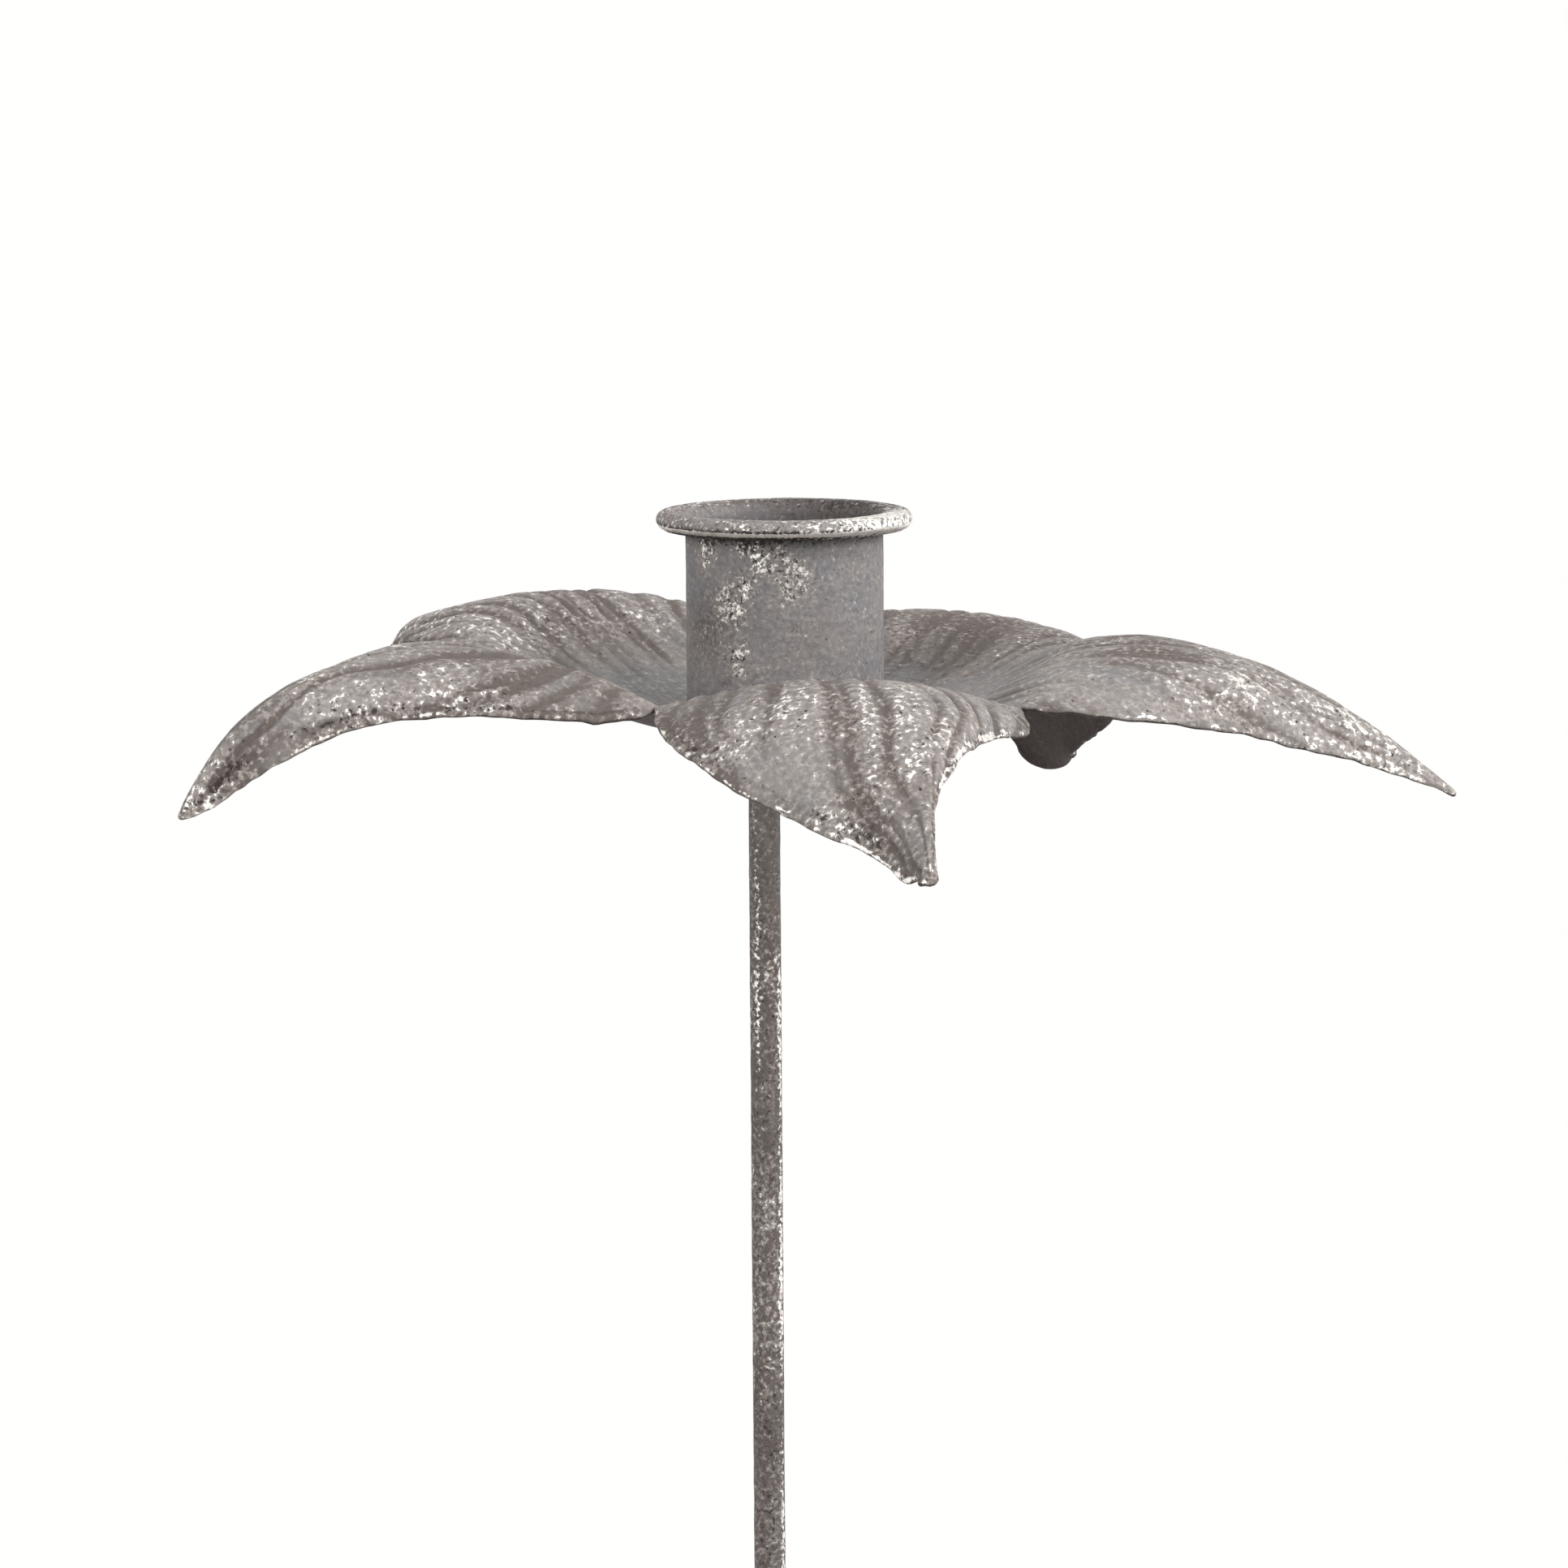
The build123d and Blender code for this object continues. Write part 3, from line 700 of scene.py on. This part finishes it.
def candle_socket(material):
    """The socket: up the outside, out under the flare, round the curled lip and back down the
    bore. The lip's free edge stops at a slightly different angle all the way round."""
    turns = np.linspace(0, 2 * pi, SOCKET_TURNS + 1)
    ring = round_axis(LIP_RADIUS, turns, 0)
    ring[-1] = ring[0]
    curl_end = CURL_END + layered(ring, CURL_WOBBLE)
    outer = SOCKET_BORE_RADIUS + SOCKET_WALL
    flare_start = SOCKET_HEIGHT - FLARE_RADIUS
    flare_centre = (SOCKET_BORE_RADIUS + FLARE_RADIUS, flare_start)
    curl_centre = (flare_centre[0] + LIP_FLAT, SOCKET_HEIGHT - CURL_RADIUS)
    inner_curl = CURL_RADIUS - SOCKET_WALL
    backwards = bend(curl_centre, CURL_RADIUS, 90, curl_end, 20)[:, ::-1]
    inner_end = bend(curl_centre, inner_curl, 90, curl_end, 8)[:, -1:]
    under_lip = SOCKET_HEIGHT - SOCKET_WALL
    sections = [
        stretch((outer, 0), (outer, flare_start), 44),
        bend(flare_centre, FLARE_RADIUS - SOCKET_WALL, 180, 90, 8),
        stretch((flare_centre[0], under_lip), (curl_centre[0], under_lip), 4),
        bend(curl_centre, inner_curl, 90, curl_end, 8),
        (inner_end + backwards[:, :1]) / 2,
        backwards,
        stretch((curl_centre[0], SOCKET_HEIGHT), (flare_centre[0], SOCKET_HEIGHT), 5),
        bend(flare_centre, FLARE_RADIUS, 90, 180, 12),
        stretch((SOCKET_BORE_RADIUS, flare_start), (SOCKET_BORE_RADIUS, 0), 40),
        stretch((SOCKET_BORE_RADIUS, 0), (outer, 0), 3),
        np.array([[outer, 0.0]]),
    ]
    sections = [np.broadcast_to(s, (SOCKET_TURNS + 1,) + s.shape[-2:]) for s in sections]
    profile = np.concatenate(sections, axis=1)
    starts = np.cumsum([0] + [s.shape[1] for s in sections])
    count = np.arange(profile.shape[1])[None, :]
    lip = ramp(starts[1], starts[2], count) * (1 - ramp(starts[7], starts[8], count))

    def between(first, last):
        """1 on the points of the sections from the first up to the last, and 0 elsewhere."""
        return ((count >= starts[first]) & (count < starts[last])).astype(float)

    outside, past_end, on_curl, inside = between(0, 1), between(1, 5), between(5, 6), between(7, 9)

    def relief(points):
        seated = ramp(0, 3, points[..., 2])
        rough = LIP_INSET + layered(points, LIP_DENTS)
        wall = WALL_INSET + layered(points, WALL_DENTS)
        return seated * (lip * rough + (1 - lip) * wall)

    grid = swept_round(profile, SOCKET_TURNS, relief)
    height = grid[..., 2]
    degrees = np.degrees(turns)[:, None]
    degrees = np.where(degrees > 180, degrees - 360, degrees)
    arc = radians(1) * outer * (degrees - RUB_AZIMUTH)
    patchy = patches(grid, 2.5, 27, 0.6)
    rubbed = outside * bell(arc, RUB_HALF_ARC) * bell(height, RUB_HALF_HEIGHT, RUB_HEIGHT)
    flecked = 0
    for azimuth, level, reach in FLECKS:
        across = bell(arc, reach, radians(azimuth - RUB_AZIMUTH) * outer)
        flecked = flecked + outside * across * bell(height, reach, level)
    to_right = 0.5 + 0.5 * np.cos(np.radians(degrees - LIP_RIGHT_AZIMUTH))
    to_back = (0.5 + 0.5 * np.cos(np.radians(degrees - LIP_BACK_AZIMUTH))) ** 3
    from_curl = np.hypot(grid[..., 0], grid[..., 1]) - curl_centre[0]
    curl_angle = np.degrees(np.arctan2(height - curl_centre[1], from_curl))
    # Painted highlight: a bright silver line low on the curl's outer face, where a reflection shows.
    low_line = on_curl * bell(curl_angle, 10, -34) * (1 + 0.8 * noise(grid, 9.0, 28))
    # Painted shade: a dark line just under the curl's widest point, and the curl's underside as it turns
    # down.
    dark_line = on_curl * (bell(curl_angle, 8, -12) + ramp(-48, -58, curl_angle))
    # Painted shade: the top of the bore, times to_back below, darkens the back of the bore under the lip
    # with brown film and dark.
    bore_top = inside * ramp(SOCKET_HEIGHT - 4, SOCKET_HEIGHT - 2, height)
    lip_shade = outside * bell(height, 1.1, SOCKET_HEIGHT - 2.4)
    # The lip's right side gets less film, more wear and more bright: partly wear, partly a painted
    # highlight where the key lamp falls.
    film = 0.75 * rubbed + lip * (0.75 - 0.6 * to_right + 0.4 * to_back) + bore_top * to_back - 0.1
    wear = 0.12 + 1.25 * flecked * patchy - 0.1 * inside + lip * (0.3 + 0.4 * to_right)
    # Painted shade: everything under the lip and inside the curl (past_end) is dark, as is the wall just
    # under the lip (lip_shade).
    dark = 0.8 * dark_line + 1.2 * past_end + 0.5 * bore_top * to_back + 0.2 * flecked
    dark = dark + lip * (0.15 + 0.35 * to_back) + 0.95 * lip_shade
    fields = {
        "film": film,
        "wear": np.clip(wear, -0.1, 1),
        "dark": np.clip(dark, 0, 1),
        # bright: the painted highlight of the low line, and the lip's rubbed silver with a painted
        # highlight on its right.
        "bright": 1.6 * low_line + lip * (0.2 + 0.6 * to_right ** 5 + 0.3 * (1 - to_right) ** 3),
    }
    make_piece("candle_socket_drawn", [(grid + DISH_PLACE, fields, False)], material,
               "candle_socket")


def stem_rod(material):
    """The rod: a round bar with a coarse crust, and at the foot a thread whose depth is a
    triangle wave of height over pitch less azimuth over a full turn."""
    low, high = ROD_LOW[2], ROD_HIGH[2]
    inner = ROD_RADIUS - ROD_CHAMFER
    profile = path((0, low), 2, (inner, low), 2, (ROD_RADIUS, low + ROD_CHAMFER), 110,
                   (ROD_RADIUS, THREAD_TOP), 620, (ROD_RADIUS, high - ROD_CHAMFER), 2,
                   (inner, high), 2, (0, high))

    def relief(points):
        height = points[..., 2]
        azimuth = np.arctan2(points[..., 1], points[..., 0]) / (2 * pi)
        wave = 2 * np.abs((height / THREAD_PITCH - azimuth) % 1 - 0.5)
        threaded = 1 - ramp(THREAD_TOP - 0.8, THREAD_TOP, height)
        on_side = ramp(low, low + 1, height) * (1 - ramp(high - 1, high, height))
        crust = CRUST_INSET + 0.03 * noise(points, 1.4, 31) + 0.02 * noise(points * (1, 1, 0.4), 3.0, 33)
        return on_side * (-THREAD_DEPTH * wave * threaded + (1 - threaded) * crust)

    grid = swept_round(profile, ROD_TURNS, relief)
    height = grid[..., 2]
    degrees = np.linspace(0, 360, ROD_TURNS + 1)[:, None]
    # The strips paint silver into the bright field: partly wear, partly painted highlight.
    strip = 0
    for azimuth, start, end, strength in STRIPS:
        away = (degrees - azimuth + 180) % 360 - 180
        length = ramp(start - STRIP_FADE, start + STRIP_FADE, height)
        length = length * (1 - ramp(end - STRIP_FADE, end + STRIP_FADE, height))
        strip = strip + strength * length * bell(away, STRIP_HALF_ARC)
    patchy = patches(grid * (1, 1, 0.3), 4.0, 34)
    near_dish = ramp(high - 65, high - 15, height)
    fields = {
        "film": 0.2 - 0.2 * near_dish + 0.6 * patchy,
        "wear": np.clip(0.2 + 0.25 * patchy, 0, 1),
        "dark": np.clip(0.15 + 0.35 * (1 - near_dish) * (1 - patchy), 0, 1),
        "bright": strip * (0.42 + 0.35 * patchy),
    }
    make_piece("stem_rod_drawn", [(grid, fields, False)], material, "stem_rod")


def foot_disc(material):
    """The foot: a turned disc with a rounded rim, faint turning marks, and the rod's hole."""
    rim = (FOOT_RADIUS - FOOT_EDGE_ROUND, FOOT_THICKNESS - FOOT_EDGE_ROUND)
    profile = np.concatenate([
        path((0, 0), 40, (FOOT_RADIUS - FOOT_ARRIS, 0), 2, (FOOT_RADIUS, FOOT_ARRIS), 5,
             (FOOT_RADIUS, rim[1]))[:-1],
        bend(rim, FOOT_EDGE_ROUND, 0, 90, 8),
        path((rim[0], FOOT_THICKNESS), 90, (FOOT_HOLE_RADIUS, FOOT_THICKNESS), 3,
             (FOOT_HOLE_RADIUS, FOOT_HOLE_FLOOR), 2, (0, FOOT_HOLE_FLOOR)),
    ])

    def relief(points):
        radius = np.hypot(points[..., 0], points[..., 1])
        exposed = ramp(0.2, 1.2, points[..., 2]) * ramp(5.2, 8, radius)
        turning = TURNING_DEPTH * np.sin(2 * pi * radius / TURNING_PITCH + noise(points, 14.0, 43))
        return exposed * (FOOT_INSET + layered(points, FOOT_DENTS) + turning)

    grid = swept_round(profile, FOOT_TURNS, relief)
    radius = np.hypot(grid[..., 0], grid[..., 1])
    patchy = patches(grid, 14.0, 44)
    rim_rub = bell(radius, 1.5, FOOT_RADIUS - FOOT_EDGE_ROUND) * ramp(2, 4, grid[..., 2])
    by_nut = bell(radius, 4, 6)
    fields = {
        "film": 0.35 + 0.4 * patchy + 0.3 * by_nut,
        "wear": np.clip(0.15 + 0.5 * (1 - patchy) + 0.5 * rim_rub, 0, 1),
        "dark": 0.6 * by_nut,
        "bright": 0.6 * rim_rub,
    }
    make_piece("foot_disc_turned", [(grid, fields, False)], material, "foot_disc")


def bead_ring(name, node, wall_radius, rises, centre, seed, material):
    """A lumpy bead of solder or braze in the corner outside a cylinder: from the wall to the
    floor it is hollow, by a sine of the way down, and it swells and thins round the ring."""
    low, high = corners(node)
    leg = high[2] - low[2]
    floor_height, tip = (low[2], high[2]) if rises else (high[2], low[2])
    share = np.linspace(0, 1, 9)[:, None]
    slope = np.hstack([wall_radius + leg * (1 - share), floor_height + (tip - floor_height) * share])
    sag = np.array([-1.0, np.sign(floor_height - tip)]) * 0.2 * leg * np.sin(pi * share)
    corner = np.array([[wall_radius, floor_height]])
    profile = np.concatenate([corner, slope + sag, corner])
    if not rises:
        profile = profile[::-1]

    def relief(points):
        out = np.hypot(points[..., 0], points[..., 1]) - wall_radius
        up = np.abs(points[..., 2] - floor_height)
        lump = 0.07 + 0.1 * noise(points, 1.6, seed)
        return ramp(0.02, 0.2, out) * ramp(0.02, 0.2, up) * lump

    grid = swept_round(profile, RING_TURNS, relief) + centre
    patchy = patches(grid, 3.0, seed + 1)
    fields = {"film": 0.5 * patchy, "wear": 0.5 - 0.3 * patchy, "dark": 0.35 * patchy, "bright": 0 * patchy}
    make_piece(name, [(grid, fields, False)], material, node)


# ======== materials

def linear(hex_colour):
    """A colour written as sRGB hex, as the linear light that shaders take."""
    channels = [int(hex_colour[i:i + 2], 16) / 255 for i in (1, 3, 5)]
    return [c / 12.92 if c <= 0.04045 else ((c + 0.055) / 1.055) ** 2.4 for c in channels] + [1.0]


def per_mm(size):
    """Scale of a texture on Object coordinates, which are metres, for a pattern of this size."""
    return 1 / (size * MM)


def add(tree, kind, sockets=None, output=0, **settings):
    """Adds a node with its settings, gives its sockets links or values, where text is a colour
    in hex, and returns the output that is asked for."""
    made = tree.nodes.new("ShaderNode" + kind)
    for key, value in settings.items():
        setattr(made, key, value)
    for key, value in (sockets or {}).items():
        if isinstance(value, bpy.types.NodeSocket):
            tree.links.new(value, made.inputs[key])
        else:
            made.inputs[key].default_value = linear(value) if isinstance(value, str) else value
    return made.outputs[output] if made.outputs else None


def new_tree(name):
    """An empty material and its node tree."""
    material = bpy.data.materials.new(name)
    material.use_nodes = True
    material.node_tree.nodes.clear()
    return material, material.node_tree


# Streaks of film on the dish are this many times as long as they are wide.
STREAK_LENGTH = 6


@dataclass
class Finish:
    """How a patinated metal looks: its colours, the size of its flakes and the height of its
    relief in millimetres, how much film and wear it has beyond what the mesh says, and how its
    streaks are squeezed along each axis, or None where the mesh says which way they run."""

    cool: str
    warm: str
    film: str
    dark: str
    bloom: str = "#b3aba6"
    silver: str = "#f4efe9"
    flake: float = 0.8
    height: float = 0.12
    film_level: float = 0.0
    wear_level: float = 0.0
    squeeze: tuple = (1.0, 1.0, 1.0)


def patinated(name, finish):
    """Old metal as it is built up: a grey skin in two tones, a brown film in streaks, a pale bloom and
    silver flakes where it was rubbed with dark bits among them, dark places that are partly unrubbed patina
    and partly painted shade, as the mesh's dark field says, silver where edges were rubbed bare and as
    painted highlights, as its bright field says, and small black pits."""
    material, tree = new_tree(name)
    film, wear, dark, bright = [add(tree, "Attribute", output="Fac", attribute_name=key)
                                for key in ("film", "wear", "dark", "bright")]
    place = add(tree, "TexCoord", output="Object")
    if finish.squeeze:
        lay = add(tree, "Mapping", {"Vector": place, "Scale": finish.squeeze})
    else:
        metres = []
        for key, step in (("across", MM), ("along", MM / STREAK_LENGTH)):
            value = add(tree, "Attribute", output="Fac", attribute_name=key)
            metres.append(add(tree, "Math", {0: value, 1: step}, operation="MULTIPLY"))
        lay = add(tree, "CombineXYZ", {0: metres[0], 1: metres[1]})
    clouds, mottle, streak, fine = [
        add(tree, "TexNoise", {"Vector": by, "Scale": per_mm(size), "Detail": detail, "Roughness": rough})
        for by, size, detail, rough in ((place, 9, 3.0, 0.55), (place, 3, 6.0, 0.66),
                                        (lay, 1.1, 4.0, 0.62), (place, 0.8, 5.0, 0.7))]
    grains = add(tree, "TexNoise", {"Vector": place, "Scale": per_mm(finish.flake), "Detail": 5.0,
                                    "Roughness": 0.62, "Distortion": 0.3}, output="Color")
    grit, dirt = [add(tree, "SeparateColor", {"Color": grains}, output=channel)
                  for channel in ("Red", "Green")]

    # where the second grey and the brown film lie
    cloud_sum = add(tree, "Math", {0: wear, 1: 0.25, 2: clouds}, operation="MULTIPLY_ADD")
    clouded = add(tree, "MapRange", {0: cloud_sum, 1: 0.42, 2: 0.62})
    film_sum = add(tree, "Math", {0: streak, 1: 1.9, 2: film}, operation="MULTIPLY_ADD")
    film_sum = add(tree, "Math", {0: mottle, 1: 1.1, 2: film_sum}, operation="MULTIPLY_ADD")
    filmed = add(tree, "MapRange", {0: film_sum, 1: 1.5 - finish.film_level,
                                    2: 2.3 - finish.film_level, 4: 0.85})

    # bloom and silver flakes, thicker where the wear is high, and dark places and bits, partly dirt and
    # partly painted shade from the dark field
    cover = add(tree, "Math", {0: mottle, 1: 1.6, 2: wear}, operation="MULTIPLY_ADD")
    flake_sum = add(tree, "Math", {0: cover, 1: 0.2, 2: grit}, operation="MULTIPLY_ADD")
    bloomed = add(tree, "MapRange", {0: flake_sum, 1: 0.71, 2: 0.87, 4: 0.85})
    flaked = add(tree, "MapRange", {0: flake_sum, 1: 0.885 - finish.wear_level,
                                    2: 0.9 - finish.wear_level})
    shaded = add(tree, "MapRange", {0: dark, 1: 0.1, 2: 1.2, 4: 0.9})
    dirt_and_shade_sum = add(tree, "Math", {0: cover, 1: 0.09, 2: dirt}, operation="MULTIPLY_ADD")
    dirt_and_shade_sum = add(tree, "Math", {0: dark, 1: 0.2, 2: dirt_and_shade_sum}, operation="MULTIPLY_ADD")
    dirt_and_shade_specks = add(tree, "MapRange", {0: dirt_and_shade_sum, 1: 0.73, 2: 0.82, 4: 0.96})

    # edges rubbed bare and painted highlights, both from the bright field, and pits
    bare_and_highlight_sum = add(tree, "Math", {0: grit, 1: 2.4, 2: bright}, operation="MULTIPLY_ADD")
    bare_and_highlight = add(tree, "MapRange", {0: bare_and_highlight_sum, 1: 1.75, 2: 1.95})
    spots = add(tree, "TexVoronoi", {"Vector": place, "Scale": per_mm(2.4)})
    pit_size = add(tree, "MapRange", {0: clouds, 1: 0.44, 2: 0.62, 4: 0.085})
    pitted = add(tree, "Math", {0: spots, 1: pit_size}, operation="LESS_THAN")

    # each layer of colour over the one before
    colour = finish.cool
    for mask, layer in ((clouded, finish.warm), (filmed, finish.film), (bloomed, finish.bloom),
                        (flaked, finish.silver), (shaded, finish.dark), (dirt_and_shade_specks, finish.dark),
                        (bare_and_highlight, finish.silver), (pitted, finish.dark)):
        colour = add(tree, "Mix", {0: mask, 6: colour, 7: layer}, output=2, data_type="RGBA")
    tone_sum = add(tree, "Math", {0: streak, 1: 0.5, 2: fine}, operation="MULTIPLY_ADD")
    tone = add(tree, "MapRange", {0: tone_sum, 1: 0.5, 2: 1.0, 3: 0.66, 4: 1.34})
    colour = add(tree, "VectorMath", {0: colour, 3: tone}, operation="SCALE")

    # relief, sheen and metal
    silver = add(tree, "Math", {0: flaked, 1: bare_and_highlight}, operation="MAXIMUM")
    height = add(tree, "Math", {0: silver, 1: 0.5, 2: grit}, operation="MULTIPLY_ADD")
    height = add(tree, "Math", {0: pitted, 1: -0.8, 2: height}, operation="MULTIPLY_ADD")
    bump = add(tree, "Bump", {"Distance": finish.height * MM, "Height": height})
    roughness = add(tree, "MapRange", {0: silver, 3: 0.74, 4: 0.36})
    metallic = add(tree, "MapRange", {0: silver, 3: 0.1, 4: 0.85})
    shader = add(tree, "BsdfPrincipled", {"Base Color": colour, "Roughness": roughness,
                                          "Metallic": metallic, "Normal": bump})
    add(tree, "OutputMaterial", {0: shader})
    return material


def pressed_zinc_petal():
    """Zinc sheet, pressed, patinated brown and rubbed back by hand: the film stays in the
    veins and streaks along them, silver shows on the crests and edges, and the hollow by the
    socket stays smooth and grey. The eye reads long soft streaks under hard bright flakes."""
    return patinated("pressed_zinc_rubbed_patina", Finish(
        cool="#908e8e", warm="#9c9591", film="#62564f", dark="#30231f", squeeze=None))


def drawn_zinc_socket():
    """Drawn zinc tube with a thin even patina: a smooth cool grey wall with faint streaks round it, and a
    curled lip that is browner behind and brighter on the right, that brightness partly wear and partly a
    painted highlight where the key lamp falls."""
    return patinated("drawn_zinc_thin_patina", Finish(
        cool="#8b898c", warm="#938e8d", film="#6b605d", dark="#2f2826", flake=0.5, height=0.06,
        squeeze=(0.35, 0.35, 1.4)))


def crusted_rod():
    """Steel rod under a thick brown patina: dark and rough, with silver strips down its length, partly
    rubbed bare and partly painted highlight."""
    return patinated("steel_rod_crusted_patina", Finish(
        cool="#79736f", warm="#857e78", film="#5d524e", dark="#2c2422", flake=0.55,
        film_level=0.25, squeeze=(1.0, 1.0, 0.3)))


def turned_foot():
    """Turned iron disc under a brown patina, rubbed bare in faint patches and at the rim."""
    return patinated("turned_iron_patina", Finish(
        cool="#85807d", warm="#8c8580", film="#64584f", dark="#332c29"))


def grey_solder():
    """Soft solder, run into the corner with an iron: dull grey with a few bright grains."""
    return patinated("soft_solder_dulled", Finish(
        cool="#8a8a8c", warm="#837f7c", film="#655e5a", dark="#3b3633", flake=0.6))


def dulled_fastener():
    """Zinc-plated steel gone dark, with bright worn spots."""
    return patinated("plated_steel_dulled", Finish(
        cool="#6f6a67", warm="#77716d", film="#4f4845", dark="#2c2826", flake=0.6,
        film_level=0.4, wear_level=0.03))


# ======== stage, light and camera

# The floor's rings of points, in metres, and between which two distances it fades to white.
STAGE_RINGS = (0, 0.05, 0.15, 0.4, 1, 4, 12, 40)
STAGE_SPOKES = 64
NEAR_FLOOR = 0.40
FAR_FLOOR = 0.68
FLOOR_COLOUR = "#f4f3f1"
BACKGROUND = "#fffffe"
WORLD_LEVEL = 0.42
LAMP_TARGET = (0, 0, 0.25)
# Square panels of light: name, place and size in metres, and power in watts.
LAMPS = (("key_panel", (1.1, -0.7, 1.2), 1.1, 12.0), ("side_panel", (1.3, 0.1, 0.5), 0.8, 5.0),
         ("top_panel", (0.1, -0.2, 1.5), 0.6, 3.0), ("fill_panel", (-0.9, -1.0, 0.8), 1.0, 6.0))


def seen_directly(tree):
    """1 for a ray from the camera or one that a metal or glass surface sends on."""
    seen = 0.0
    for ray in ("Is Camera Ray", "Is Glossy Ray", "Is Transmission Ray"):
        seen = add(tree, "Math", {0: seen, 1: add(tree, "LightPath", output=ray)}, operation="MAXIMUM")
    return seen


def pale_floor():
    """Matt white paper: it takes the stand's shadow, and fades to the white background."""
    material, tree = new_tree("matt_paper_floor")
    place = add(tree, "TexCoord", output="Object")
    distance = add(tree, "VectorMath", {0: place}, output="Value", operation="LENGTH")
    away = add(tree, "MapRange", {0: distance, 1: NEAR_FLOOR, 2: FAR_FLOOR})
    factor = add(tree, "Math", {0: away, 1: seen_directly(tree)}, operation="MULTIPLY")
    fibres = add(tree, "TexNoise", {"Vector": place, "Scale": per_mm(1.5), "Detail": 4.0})
    tint = add(tree, "Mix", {0: fibres, 6: FLOOR_COLOUR, 7: BACKGROUND}, output=2, data_type="RGBA")
    paper = add(tree, "BsdfDiffuse", {"Color": tint})
    white = add(tree, "Emission", {"Color": BACKGROUND, "Strength": 1.0})
    mixed = add(tree, "MixShader", {0: factor, 1: paper, 2: white})
    add(tree, "OutputMaterial", {0: mixed})
    return material


def floor():
    """A large disc at the height of the foot's underside: rings of radius, points round."""
    radius = np.array(STAGE_RINGS)[:, None]
    angle = np.linspace(0, 2 * pi, STAGE_SPOKES + 1)[None, :]
    points = round_axis(radius, angle, 0)
    quads = grid_quads(*points.shape[:2], 0, False)
    stage = welded_object("floor", points.reshape(-1, 3), quads, {}, pale_floor())


def world():
    """Even soft light, and white where the camera or a shiny surface sees past the floor."""
    made = bpy.data.worlds.new("studio")
    made.use_nodes = True
    tree = made.node_tree
    tree.nodes.clear()
    strength = add(tree, "Math", {0: seen_directly(tree), 1: 1 - WORLD_LEVEL, 2: WORLD_LEVEL},
                   operation="MULTIPLY_ADD")
    back = add(tree, "Background", {"Color": BACKGROUND, "Strength": strength})
    add(tree, "OutputWorld", {0: back})
    bpy.context.scene.world = made


def soft_lamp(name, place, size, power):
    """A square panel of light that faces the stand."""
    data = bpy.data.lights.new(name, "AREA")
    data.size = size
    data.energy = power
    lamp = bpy.data.objects.new(name, data)
    lamp.location = place
    lamp.rotation_euler = (Vector(LAMP_TARGET) - Vector(place)).to_track_quat("-Z", "Y").to_euler()
    bpy.context.scene.collection.objects.link(lamp)


# The camera is taken to be a metre in front of the dish, and it looks a little down on it.
CAMERA_PLACE = (0.00245, -1.0, 0.3994)
CAMERA_PITCH = 7.61
CAMERA_ROLL = 0.40
SENSOR = 36.0
FOCAL_PIXELS = 10060.0
IMAGE_PIXELS = 1932.0
CLIP_END = 100


def camera():
    """The camera: it looks down by its pitch, and its right and up are turned by its roll."""
    pitch, roll = radians(CAMERA_PITCH), radians(CAMERA_ROLL)
    forward = Vector((0, cos(pitch), -sin(pitch)))
    level_right = Vector((1, 0, 0))
    level_up = level_right.cross(forward)
    right = cos(roll) * level_right - sin(roll) * level_up
    up = sin(roll) * level_right + cos(roll) * level_up
    data = bpy.data.cameras.new("camera")
    data.sensor_width = SENSOR
    data.lens = SENSOR * FOCAL_PIXELS / IMAGE_PIXELS
    data.clip_end = CLIP_END
    made = bpy.data.objects.new("camera", data)
    turn = Matrix((right, up, -forward)).transposed().to_4x4()
    made.matrix_world = Matrix.Translation(CAMERA_PLACE) @ turn
    bpy.context.scene.collection.objects.link(made)
    bpy.context.scene.camera = made


# ======== the stand

rod_metal = crusted_rod()
solder_metal = grey_solder()
fastener_metal = dulled_fastener()
flower_dish(pressed_zinc_petal())
candle_socket(drawn_zinc_socket())
stem_rod(rod_metal)
foot_disc(turned_foot())
bead_ring("socket_solder_ring_lumpy", "socket_solder_ring", SOCKET_BORE_RADIUS + SOCKET_WALL,
          True, (DISH_PLACE[0], 0, 0), 51, solder_metal)
bead_ring("boss_braze_ring_lumpy", "boss_braze_ring", (BOSS_HIGH[0] - BOSS_LOW[0]) / 2,
          False, (0, 0, 0), 53, solder_metal)
for node, metal in (("stem_boss", rod_metal), ("foot_lock_nut", fastener_metal),
                    ("foot_washer", fastener_metal)):
    for carried in frame["nodes"][node].material_slots:
        carried.material = metal

floor()
world()
for lamp in LAMPS:
    soft_lamp(*lamp)
camera()
bpy.context.scene.view_settings.view_transform = "Standard"
